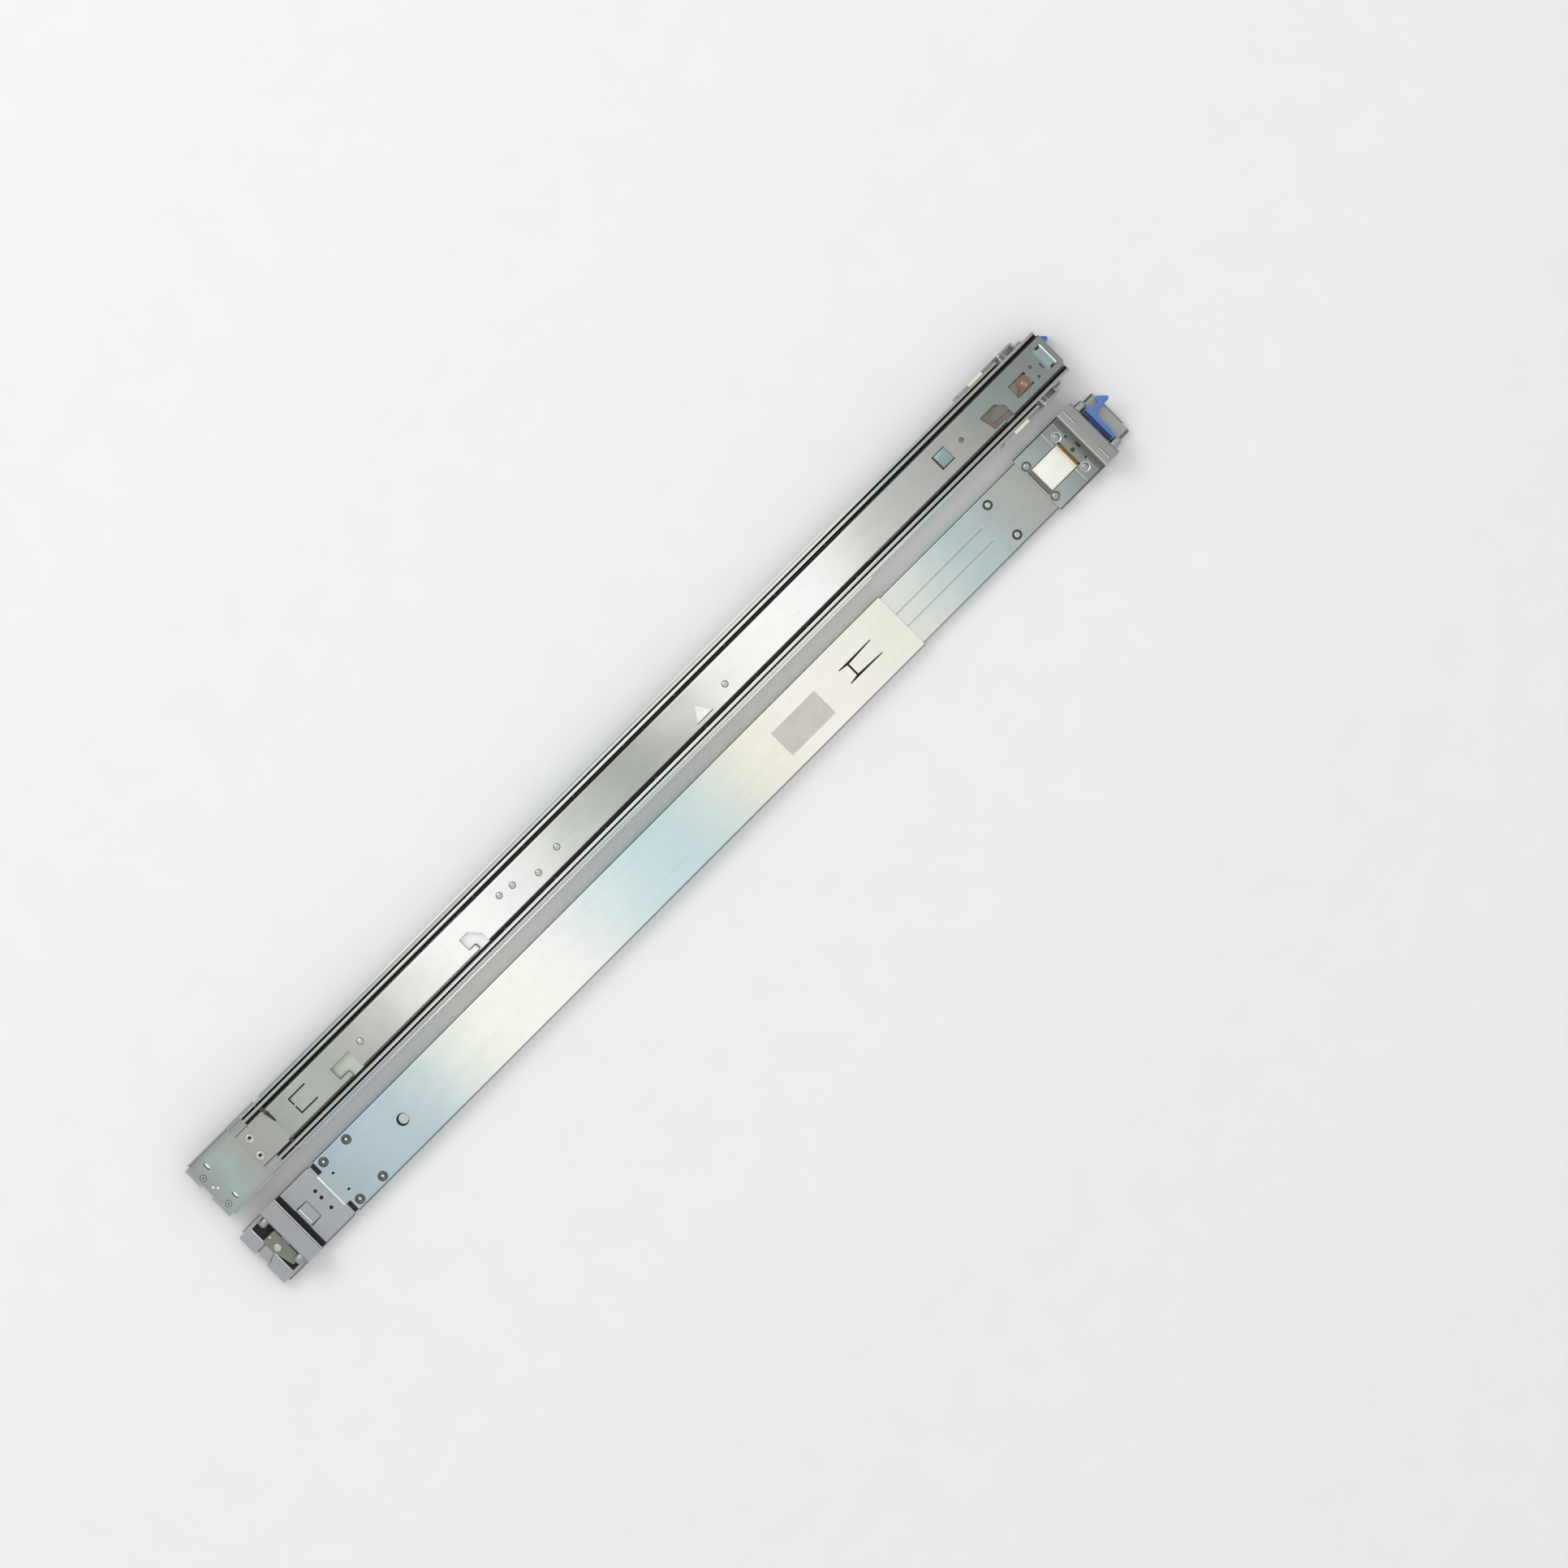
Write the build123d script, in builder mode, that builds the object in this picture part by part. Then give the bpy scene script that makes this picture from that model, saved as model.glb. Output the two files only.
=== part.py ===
from build123d import *
import os

# A pair of sliding server rails for a four-post rack, laid side by side on a floor.
# +X runs along the rails towards the front of the rack, +Z is up. The origin is on the
# floor, under the middle of the pair. Depth is measured through a rail, from the outer
# face of its wide channel towards the server: the rack flanges stand at negative depth.

# The pair as it lies
LENGTH = 764.4
RAIL_PITCH = 53.9
LEFT_EXTENSION_SHIFT = 5.6

# Running and seating clearances
SLIDE_GAP = 0.2
SIDE_GAP = 0.3
BALL_GAP = 0.05
FIT = 0.1
LOOSE_FIT = 0.3

# Formed sheets: their thickness, and the bend radius of their centre lines
CHANNEL_SHEET = 1.0
MEMBER_SHEET = 1.0
REAR_SHEET = 1.0
FRONT_SHEET = 1.5
CAGE_SHEET = 0.3
BEND = 0.8

# Balls and the races that they run in
BALL_RADIUS = 1.55
BALLS_IN_ROW = 8
CAGE_SIDE = 0.4
CAGE_LIP = 0.4
CAGE_END_MARGIN = 12.0

# Wide rear channel, which carries the rear bracket
CHANNEL_LENGTH = 508.5
CHANNEL_HALF = 21.5
CHANNEL_DEPTH = 10.0
CHANNEL_REAR_INSET = 63.7
CHANNEL_NOTCH_LENGTH = 3.0
CHANNEL_TONGUE_HALF = 12.5
CHANNEL_TONGUE_LENGTH = 1.9
CHANNEL_HOLE_INSET = 62.6
CHANNEL_HOLE_RADIUS = 4.2
EYELET_RADIUS = 3.3
DIMPLE_INSET = 7.4
DIMPLE_YS = (7.2, -6.9)
DIMPLE_HOLE_RADIUS = 1.0
COINED_DISC_INSET = 446.8
COINED_DISC_RADIUS = 4.2
COINED_DISC_RISE = 0.3
LANCE_INSET = 457.8
LANCE_LENGTH = 28.1
LANCE_HALF = 5.9
LANCE_CROSS_INSET = 7.1
LANCE_SLOT_WIDE = 1.8
LANCE_SLOT_NARROW = 0.7

# Rear bracket, riveted under the channel's web
REAR_BRACKET_LAP = 35.0
REAR_FLANGE_INSET = 4.2
REAR_FLANGE_DEPTH = 9.0
REAR_HAT_INSET = 20.7
REAR_HAT_LENGTH = 12.6
REAR_WINDOW_INSET = 9.0
REAR_WINDOW_HALF = 18.6
REAR_WINDOW_RIB_TOP = 2.0
REAR_WINDOW_RIB_BOTTOM = -5.0
REAR_STEP_LENGTH = 3.6
REAR_STEP_HALF = 14.0
REAR_BRIDGE_LENGTH = 10.0
REAR_BRIDGE_WIDTH = 13.6
REAR_BRIDGE_RISE = 0.8
REAR_BRIDGE_SLOPE = 30.0
REAR_LIP_STEP = 1.9
REAR_LIP_TOP = 5.8
REAR_LIP_BOTTOM = -4.0
REAR_LIP_ROUND = 0.9
REAR_HOLE_INSET = 54.9
REAR_HOLE_RADIUS = 1.3
REAR_HOLE_YS = (7.1, 1.5, -7.3)
REAR_RIVET_RADIUS = 2.4
REAR_RIVET_RISE = 0.6
REAR_RIVET_Y = 16.4
REAR_RIVET_INSETS = (8.0, 28.3)

# Rack flanges and their locating pins, on one rack unit's outer holes
FLANGE_OUT = 11.5
PIN_SPACING = 31.75
PIN_RADIUS = 3.0
PIN_OUT = 6.5
PIN_CHAMFER = 1.2
FRONT_PIN_LENGTH = 6.4
REAR_PIN_LENGTH = 5.5

# Rear pawl, which snaps behind the rack post
PAWL_SHEET = 1.2
PAWL_PIVOT_X = 13.2
PAWL_PIVOT_Y = -1.5
PAWL_TOP = 8.0
PAWL_BOTTOM = -16.0
PAWL_REAR = 8.9
PAWL_FRONT = 19.2
PAWL_HUB = 3.6
PAWL_RIVET_RADIUS = 1.4
PAWL_RIVET_HEAD = 2.5
PAWL_RIVET_RISE = 0.9

# Outer member
OUTER_LENGTH = 685.4
OUTER_HALF = 20.2
OUTER_DEPTH = 9.7
OUTER_SETBACK = 15.2
OUTER_GROOVE_HALF = 5.45
OUTER_GROOVE_DEPTH = 0.4
OUTER_GROOVE_FRONT = 74.4
OUTER_GROOVE_REAR = 40.0
OUTER_EYELET_INSET = 66.8
OUTER_EYELET_Y = 13.2
OUTER_EYELET_RADIUS = 2.0

# Front bracket, riveted on the outer member's web
FRONT_HALF = 22.0
FRONT_LENGTH = 51.2
FRONT_HAT_LENGTH = 12.5
FRONT_FLANGE_DEPTH = 9.2
FRONT_SIDE_INSET = 3.4
FRONT_OPENING_HALF = 18.4
FRONT_OPENING_OVERRUN = 1.0
FRONT_RIVET_RADIUS = 2.6
FRONT_RIVET_RISE = 0.9
FRONT_RIVET_Y = 13.0
FRONT_RIVET_INSETS = (21.2, 47.6)
FRONT_WINDOW_INSET = 24.3
FRONT_WINDOW_LENGTH = 22.3
FRONT_WINDOW_HALF = 9.3
FRONT_GROOVE_INSET = 7.0
FRONT_GROOVE_WIDTH = 0.9
FRONT_GROOVE_END = 20.8
GLIDE_INSET = 26.2
GLIDE_LENGTH = 12.0
GLIDE_DEPTH = 7.6
BLOCK_RISE = 0.3
BLOCK_RIDGE = 0.5
BLOCK_RIDGE_WIDTH = 3.0

# Blue front latch and its hinge
EAR_SHEET = 1.2
EAR_GAP = 9.5
EAR_LENGTH = 7.6
EAR_HEIGHT = 7.0
LATCH_PIVOT_INSET = 6.2
LATCH_PIN_RADIUS = 1.2
LATCH_BARREL_RADIUS = 2.5
LATCH_TAIL_HALF = 6.0
LATCH_TAIL_THICKNESS = 3.0
LATCH_THICKNESS = 5.0
LATCH_FACE_GAP = 0.8
LATCH_BAR_LENGTH = 5.9
LATCH_ARM_LOW = 5.8
LATCH_ARM_HIGH = 10.9
LATCH_HOOK_HIGH = 12.0
LATCH_PIN_GAP = 0.9
LATCH_HOOK_LENGTH = 6.7
LATCH_REACH = 20.0
LATCH_SLOT_OUT = 0.6
LATCH_SLOT_IN = 1.8
SPRING_WALL = 0.7

# Intermediate member
MIDDLE_LENGTH = 704.5
MIDDLE_DEPTH = 10.0
MIDDLE_TONGUE_LENGTH = 10.7
MIDDLE_TONGUE_HALF = 13.0
MIDDLE_FRONT_INSET = 5.4
MIDDLE_JOG_DEPTH = 6.3
MIDDLE_TRAVEL = 330.0
BUMPER_LENGTH = 3.9
BUMPER_LOW = 2.0
BUMPER_HIGH = 11.0
BUMPER_DEPTH = 9.0

# Inner member, which is screwed to the server
INNER_LENGTH = 689.9
INNER_HALF = 12.7
INNER_DEPTH = 10.4
INNER_FLANGE_DEPTH = 6.3
INNER_FRONT_INSET = 4.1
INNER_CORNER = 3.0
INNER_TRAVEL = 350.0
INNER_RACE_LIP = 0.65
INNER_CAGE_OUT = 0.8
SLOT_ROUND = 1.0
LEDGE_SLOT_REAR = 46.3
LEDGE_SLOT_LENGTH = 16.8
LEDGE_SLOT_MOUTH = 8.8
LEDGE_SLOT_TOP = 1.0
LEDGE_SLOT_LEDGE = -8.5
CURVED_SLOT_REAR = 161.3
CURVED_SLOT_LENGTH = 13.9
CURVED_SLOT_MOUTH = 8.4
CURVED_SLOT_TOP_LENGTH = 7.5
CURVED_SLOT_SHOULDER = -6.0
TRIANGLE_REAR = 364.2
TRIANGLE_LENGTH = 14.0
TRIANGLE_BASE = -9.6
TRIANGLE_APEX = 0.8
FRONT_SLOT_INSET = 63.7
FRONT_SLOT_LENGTH = 17.6
FRONT_SLOT_TOP = 1.4
FRONT_SLOT_LEDGE = -10.6
FRONT_SLOT_MOUTH = 6.5
FRONT_SLOT_SHOULDER = 5.0
TAB_WINDOW_INSET = 102.7
TAB_WINDOW_LENGTH = 10.7
TAB_WINDOW_HALF = 5.4
TAB_HOLE_INSET = 81.3
TAB_HOLE_RADIUS = 1.8
LANCE_C_REAR = 14.2
LANCE_C_LENGTH = 14.5
LANCE_C_HALF = 6.5
LANCE_C_WIDTH = 1.0
LEVER_WINDOW_INSET = 37.1
LEVER_WINDOW_LENGTH = 14.1
LEVER_WINDOW_TOP = 2.9
LEVER_WINDOW_BOTTOM = -7.1
FRONT_OPENING_INSET = 10.5
FRONT_OPENING_LENGTH = 7.2
FRONT_OPENING_Y = 8.0
INNER_SCREW_INSET = 18.2
INNER_SCREW_RADIUS = 1.3
INNER_SCREW_Y = 1.8
INNER_PILOT_RADIUS = 1.0
INNER_PILOT_Y = -6.3
FRONT_SLIT_INSET = 12.4
FRONT_SLIT_WIDTH = 1.0
FRONT_SLIT_LENGTH = 4.0
FRONT_SLIT_Y = -2.5
WEB_RIVETS = ((209.9, 1.6), (227.2, -4.4), (246.9, -1.0))
WEB_RIVET_RADIUS = 2.3
COINS = ((72.4, 0.0), (199.4, 2.9), (394.5, -3.4))
COIN_RADIUS = 2.3
COIN_DEPTH = 0.3

# Lock lever under the inner member's web
LEVER_SHEET = 1.0
LEVER_PIVOT_INSET = 28.4
LEVER_PIVOT_Y = -2.5
LEVER_NOSE_REACH = 31.0
LEVER_HEAD_RADIUS = 2.3
LEVER_SHANK_RADIUS = 1.2
LEVER_FOOT_RADIUS = 2.0
LEVER_FOOT = 0.6
LEVER_TONGUE_TOP = 0.9
LEVER_TONGUE_BOTTOM = -5.9
LEVER_HEEL = 4.6
LEVER_HEEL_TOP = 1.5
LEVER_HEEL_BOTTOM = -5.5
LEVER_SHOULDER_REACH = 9.0
LEVER_SHOULDER = 2.5
LEVER_NECK = 8.0
LEVER_NECK_TOP = -1.0
LEVER_NOSE_TOP = -3.5
LEVER_NOSE_BOTTOM = -6.5
LEVER_BELLY = 10.0
LEVER_BELLY_BOTTOM = -7.5

# Blank label on the right rail's channel
LABEL_LENGTH = 38.5
LABEL_WIDTH = 19.6
LABEL_SHEET = 0.1
LABEL_INSET = 399.5
LABEL_Y = -1.9

# Stations along the rail
REAR_END = -LENGTH / 2
LATCH_TIP = LENGTH / 2
FRONT_FACE = LATCH_TIP - LATCH_REACH
REAR_FACE = REAR_END + REAR_HAT_INSET
CHANNEL_REAR = REAR_END + CHANNEL_REAR_INSET
BRACKET_FRONT = CHANNEL_REAR + REAR_BRACKET_LAP
OUTER_FRONT = FRONT_FACE - OUTER_SETBACK
OUTER_REAR = OUTER_FRONT - OUTER_LENGTH
FRONT_BRACKET_REAR = FRONT_FACE - FRONT_LENGTH
MIDDLE_FRONT = LATCH_TIP - MIDDLE_FRONT_INSET
MIDDLE_REAR = MIDDLE_FRONT - MIDDLE_LENGTH
INNER_FRONT = LATCH_TIP - INNER_FRONT_INSET
INNER_REAR = INNER_FRONT - INNER_LENGTH

# Depths through the slide, each member clear of the one before
BRACKET_PLATE = CHANNEL_SHEET
OUTER_WEB = BRACKET_PLATE + REAR_SHEET + SLIDE_GAP
OUTER_CAGE_WEB = OUTER_WEB + MEMBER_SHEET + SLIDE_GAP
MIDDLE_WEB = OUTER_CAGE_WEB + CAGE_SHEET + SLIDE_GAP
INNER_CAGE_WEB = MIDDLE_WEB + MEMBER_SHEET + SIDE_GAP
INNER_WEB = INNER_DEPTH - MEMBER_SHEET
FRONT_PLATE = OUTER_WEB - FRONT_SHEET

# Half widths of the races, each a ball's width and its clearance apart
OUTER_RACE = OUTER_HALF - MEMBER_SHEET
OUTER_BALL_Y = OUTER_RACE - BALL_GAP - BALL_RADIUS
MIDDLE_OUTER_RACE = OUTER_BALL_Y - BALL_RADIUS - BALL_GAP
INNER_BALL_Y = INNER_HALF + BALL_GAP + BALL_RADIUS
MIDDLE_INNER_RACE = INNER_BALL_Y + BALL_RADIUS + BALL_GAP
OUTER_BALL_DEPTH = OUTER_CAGE_WEB + CAGE_SHEET + BALL_GAP + BALL_RADIUS
INNER_BALL_DEPTH = INNER_DEPTH - INNER_RACE_LIP - BALL_RADIUS
INNER_CAGE_Y = INNER_HALF + INNER_CAGE_OUT

# The laid rails' levels: the left rail stands on its flanges, the right one on its face
LAID_HEIGHT = FLANGE_OUT + INNER_DEPTH


def level(depth):
    """Height over the floor of a depth through the left rail."""
    return FLANGE_OUT + depth


def both_sides(half):
    """A section's points from one lip to the other, given those from the web outwards."""
    return [(-y, z) for y, z in reversed(half)] + half


def formed_sheet(half, thickness):
    """Trace a symmetrical formed sheet's section, given its centre line's half."""
    with BuildLine() as centre_line:
        FilletPolyline(*both_sides(half), radius=BEND)
    trace(centre_line.line, line_width=thickness)


def channel_section(half_width, web, depth, thickness):
    """Sketch a plain C section whose web lies at one depth and whose edges reach another."""
    middle = thickness / 2
    side = half_width - middle
    formed_sheet([(side, level(web + middle)), (side, level(depth))], thickness)


def part_at_bends(half_width, thickness):
    """Part an open section where its web meets its bends, so that collision keeps it hollow."""
    bend_line = half_width - thickness / 2 - BEND
    for side in (-1, 1):
        split(bisect_by=Plane.XZ.offset(side * bend_line), keep=Keep.BOTH)


def plan_rectangle(x0, x1, y0, y1):
    """Sketch a rectangle by its edges along and across the rail."""
    with Locations(((x0 + x1) / 2, (y0 + y1) / 2)):
        Rectangle(x1 - x0, y1 - y0)


def ball_stations(start, end):
    """Places of a row of balls, evenly spaced inside a cage's ends."""
    first = start + CAGE_END_MARGIN
    pitch = (end - start - 2 * CAGE_END_MARGIN) / (BALLS_IN_ROW - 1)
    return [first + pitch * i for i in range(BALLS_IN_ROW)]


def outer_cage_span():
    """Ends of the outer cage, which stays between both members over their travel."""
    start = MIDDLE_REAR + MIDDLE_TRAVEL / 2 + SIDE_GAP
    end = OUTER_FRONT - MIDDLE_TRAVEL / 2 - SIDE_GAP
    return start, end


def inner_cage_span():
    """Ends of the inner cage, which stays between both members over their travel."""
    start = INNER_REAR + INNER_TRAVEL / 2 + SIDE_GAP
    end = MIDDLE_FRONT - INNER_TRAVEL / 2 - SIDE_GAP
    return start, end


def write(piece, rail, name, shift=0.0):
    """Lay a piece where its rail lies, the right rail turned over, and write it."""
    if rail == "left":
        laid = Pos(shift, RAIL_PITCH / 2, 0) * piece.part
    else:
        turned = mirror(piece.part, about=Plane.XY.offset(LAID_HEIGHT / 2))
        laid = Pos(0, -RAIL_PITCH / 2, 0) * turned
    laid.label = f"{rail}_{name}"
    export_step(laid, f"parts/{rail}_{name}.step")


def rear_channel():
    """Wide channel that telescopes over the outer member and sets the rack depth."""
    rear, front = CHANNEL_REAR, CHANNEL_REAR + CHANNEL_LENGTH
    with BuildPart() as channel:
        with BuildSketch(Plane.YZ.offset(rear)):
            channel_section(CHANNEL_HALF, 0, CHANNEL_DEPTH, CHANNEL_SHEET)
        extrude(amount=front - rear)
        # Notched rear corners, and the tongue between them
        with BuildSketch(Plane.XY.offset(level(0))):
            for side in (-1, 1):
                edges = sorted((side * CHANNEL_TONGUE_HALF, side * CHANNEL_HALF))
                plan_rectangle(rear, rear + CHANNEL_NOTCH_LENGTH, *edges)
        extrude(amount=CHANNEL_DEPTH, mode=Mode.SUBTRACT)
        with BuildSketch(Plane.XY.offset(level(0))):
            plan_rectangle(rear - CHANNEL_TONGUE_LENGTH, rear, -CHANNEL_TONGUE_HALF, CHANNEL_TONGUE_HALF)
        extrude(amount=CHANNEL_SHEET)
        # Coined disc, standing a little proud
        with BuildSketch(Plane.XY.offset(level(0))):
            with Locations((rear + COINED_DISC_INSET, 0)):
                Circle(COINED_DISC_RADIUS)
        extrude(amount=-COINED_DISC_RISE)
        # Eyelets for the bracket's rivets, and the round hole
        with BuildSketch(Plane.XY.offset(level(0))):
            with Locations(*rear_rivet_places()):
                Circle(EYELET_RADIUS)
            with Locations((rear + CHANNEL_HOLE_INSET, 0)):
                Circle(CHANNEL_HOLE_RADIUS)
            with Locations(*[(rear + DIMPLE_INSET, y) for y in DIMPLE_YS]):
                Circle(DIMPLE_HOLE_RADIUS)
            # Lanced detent: two wedge slots joined by a cross cut
            start = rear + LANCE_INSET
            cross = start + LANCE_CROSS_INSET
            end = start + LANCE_LENGTH
            for side in (-1, 1):
                outside = side * LANCE_HALF
                narrow = side * (LANCE_HALF - LANCE_SLOT_NARROW)
                wide = side * (LANCE_HALF - LANCE_SLOT_WIDE)
                corners = [(start, outside), (end, outside), (end, narrow), (cross, wide), (start, narrow)]
                Polygon(*corners, align=None)
            plan_rectangle(cross - LANCE_SLOT_NARROW, cross + LANCE_SLOT_NARROW, -LANCE_HALF, LANCE_HALF)
        extrude(amount=CHANNEL_SHEET, mode=Mode.SUBTRACT)
        part_at_bends(CHANNEL_HALF, CHANNEL_SHEET)
    return channel


def rear_rivet_places():
    """Places of the four rivets that join the rear bracket to the channel."""
    return [(CHANNEL_REAR + x, y) for x in REAR_RIVET_INSETS for y in (-REAR_RIVET_Y, REAR_RIVET_Y)]


def rear_bracket():
    """Rear bracket: a formed plate with a raised rack flange and a window for its pawl."""
    flange_rear = REAR_END + REAR_FLANGE_INSET
    wide_end = CHANNEL_REAR - CHANNEL_TONGUE_LENGTH - SIDE_GAP
    hat_rear, hat_front = REAR_FACE, REAR_FACE + REAR_HAT_LENGTH
    under_channel = CHANNEL_HALF - CHANNEL_SHEET / 2 - BEND - FIT
    with BuildPart() as bracket:
        with BuildSketch(Plane.YZ.offset(flange_rear)):
            channel_section(CHANNEL_HALF, BRACKET_PLATE, REAR_FLANGE_DEPTH, REAR_SHEET)
        extrude(amount=wide_end - flange_rear)
        # Flat plate under the channel's web
        with BuildSketch(Plane.XY.offset(level(BRACKET_PLATE))):
            plan_rectangle(wide_end, BRACKET_FRONT, -under_channel, under_channel)
        extrude(amount=REAR_SHEET)
        # End lip, stepped back in its middle with rounded shoulders
        with BuildSketch(Plane.XY.offset(level(BRACKET_PLATE))) as end_lip:
            plan_rectangle(REAR_END, flange_rear, -under_channel, REAR_LIP_BOTTOM)
            plan_rectangle(REAR_END + REAR_LIP_STEP, flange_rear, REAR_LIP_BOTTOM, REAR_LIP_TOP)
            plan_rectangle(REAR_END, flange_rear, REAR_LIP_TOP, under_channel)
            shoulders = end_lip.vertices().filter_by(lambda v: abs(v.Y) < under_channel / 2)
            fillet(shoulders, REAR_LIP_ROUND)
        extrude(amount=REAR_SHEET)
        # Raised rack flange, folded outwards and back
        wall = REAR_SHEET / 2
        top = level(wall - FLANGE_OUT)
        foot = level(BRACKET_PLATE + wall)
        with BuildSketch(Plane.XZ):
            with BuildLine():
                fold = [
                    (hat_rear + wall, foot), (hat_rear + wall, top),
                    (hat_front - wall, top), (hat_front - wall, foot),
                ]
                FilletPolyline(*fold, radius=BEND)
            trace(line_width=REAR_SHEET)
        extrude(amount=CHANNEL_HALF, both=True)
        # Window behind the flange with a rib for the pawl, and the opening under the fold
        with BuildSketch(Plane.XY.offset(level(BRACKET_PLATE))):
            window = (REAR_END + REAR_WINDOW_INSET, hat_rear)
            plan_rectangle(*window, -REAR_WINDOW_HALF, REAR_WINDOW_RIB_BOTTOM)
            plan_rectangle(*window, REAR_WINDOW_RIB_TOP, REAR_WINDOW_HALF)
            plan_rectangle(hat_rear + REAR_SHEET, hat_front - REAR_SHEET, -REAR_WINDOW_HALF, REAR_WINDOW_HALF)
            plan_rectangle(hat_front, hat_front + REAR_STEP_LENGTH, -REAR_STEP_HALF, REAR_STEP_HALF)
        extrude(amount=REAR_SHEET, mode=Mode.SUBTRACT)
        # Embossed bridge in front of the flange
        bridge_middle = hat_front + REAR_STEP_LENGTH + REAR_BRIDGE_LENGTH / 2
        with BuildSketch(Plane.XY.offset(level(BRACKET_PLATE))):
            with Locations((bridge_middle, 0)):
                Rectangle(REAR_BRIDGE_LENGTH, REAR_BRIDGE_WIDTH)
        extrude(amount=-REAR_BRIDGE_RISE, taper=REAR_BRIDGE_SLOPE)
        # Holes for the rivets and the pawl's pivot, and three in front of the bridge
        with BuildSketch(Plane.XY.offset(level(BRACKET_PLATE))):
            with Locations(*rear_rivet_places()):
                Circle(REAR_RIVET_RADIUS)
            with Locations(*[(REAR_END + REAR_HOLE_INSET, y) for y in REAR_HOLE_YS]):
                Circle(REAR_HOLE_RADIUS)
            with Locations((REAR_END + PAWL_PIVOT_X, PAWL_PIVOT_Y)):
                Circle(PAWL_RIVET_RADIUS)
        extrude(amount=REAR_SHEET, mode=Mode.SUBTRACT)
    return bracket


def rear_bracket_rivets():
    """Rivets in the channel's eyelets, flush on the side where the slide runs."""
    with BuildPart() as rivets:
        with BuildSketch(Plane.XY.offset(level(BRACKET_PLATE + REAR_SHEET))):
            with Locations(*rear_rivet_places()):
                Circle(REAR_RIVET_RADIUS)
        extrude(amount=-REAR_SHEET - REAR_RIVET_RISE)
    return rivets


def rack_pins(face, length):
    """Two locating pins on a rack flange, pointing away from the rail by a signed length."""
    with BuildPart() as pins:
        with BuildSketch(Plane.YZ.offset(face)):
            with Locations(*[(y, level(-PIN_OUT)) for y in (-PIN_SPACING / 2, PIN_SPACING / 2)]):
                Circle(PIN_RADIUS)
        extrude(amount=length)
        tips = pins.edges().filter_by(GeomType.CIRCLE).sort_by(Axis.X)
        chamfer(tips[-2:] if length > 0 else tips[:2], PIN_CHAMFER)
    return pins


def rear_pawl():
    """Pawl plate that swings on a rivet in the window and snaps behind the rack post."""
    pivot = (REAR_END + PAWL_PIVOT_X, PAWL_PIVOT_Y)
    rear, front = REAR_END + PAWL_REAR, REAR_END + PAWL_FRONT
    with BuildPart() as pawl:
        with BuildSketch(Plane.XY.offset(level(BRACKET_PLATE - FIT))) as outline:
            toe = rear + PAWL_HUB
            corners = [
                (rear, PAWL_TOP), (front, PAWL_TOP), (front, PAWL_BOTTOM + PAWL_HUB),
                (toe + PAWL_HUB, PAWL_BOTTOM), (toe, PAWL_BOTTOM), (rear, PAWL_PIVOT_Y),
            ]
            Polygon(*corners, align=None)
            fillet(outline.vertices(), SLOT_ROUND)
            with Locations(pivot):
                Circle(PAWL_RIVET_RADIUS + FIT, mode=Mode.SUBTRACT)
        extrude(amount=-PAWL_SHEET)
    return pawl


def rear_pawl_rivet():
    """Shouldered rivet that the pawl turns on."""
    pivot = (REAR_END + PAWL_PIVOT_X, PAWL_PIVOT_Y)
    head = BRACKET_PLATE - FIT - PAWL_SHEET - FIT
    with BuildPart() as rivet:
        with BuildSketch(Plane.XY.offset(level(BRACKET_PLATE + REAR_SHEET))):
            with Locations(pivot):
                Circle(PAWL_RIVET_RADIUS)
        extrude(amount=head - BRACKET_PLATE - REAR_SHEET)
        with BuildSketch(Plane.XY.offset(level(head))):
            with Locations(pivot):
                Circle(PAWL_RIVET_HEAD)
        extrude(amount=-PAWL_RIVET_RISE)
    return rivet


def outer_member():
    """Outer member, a C section whose flanges are the outer balls' races."""
    with BuildPart() as member:
        with BuildSketch(Plane.YZ.offset(OUTER_REAR)):
            channel_section(OUTER_HALF, OUTER_WEB, OUTER_DEPTH, MEMBER_SHEET)
        extrude(amount=OUTER_LENGTH)
        # Long stiffening groove in the web's outer face
        start = OUTER_REAR + OUTER_GROOVE_REAR
        end = OUTER_FRONT - OUTER_GROOVE_FRONT
        with BuildSketch(Plane.XY.offset(level(OUTER_WEB))):
            with Locations(((start + end) / 2, 0)):
                SlotOverall(end - start, 2 * OUTER_GROOVE_HALF)
        extrude(amount=OUTER_GROOVE_DEPTH, mode=Mode.SUBTRACT)
        eyelet = OUTER_FRONT - OUTER_EYELET_INSET
        with BuildSketch(Plane.XY.offset(level(OUTER_WEB))):
            with Locations((eyelet, -OUTER_EYELET_Y), (eyelet, OUTER_EYELET_Y)):
                Circle(OUTER_EYELET_RADIUS)
            with Locations(*front_rivet_places()):
                Circle(FRONT_RIVET_RADIUS)
        extrude(amount=MEMBER_SHEET, mode=Mode.SUBTRACT)
        part_at_bends(OUTER_HALF, MEMBER_SHEET)
    return member


def front_rivet_places():
    """Places of the four rivets that join the front bracket to the outer member."""
    return [(FRONT_FACE - x, y) for x in FRONT_RIVET_INSETS for y in (-FRONT_RIVET_Y, FRONT_RIVET_Y)]


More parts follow.
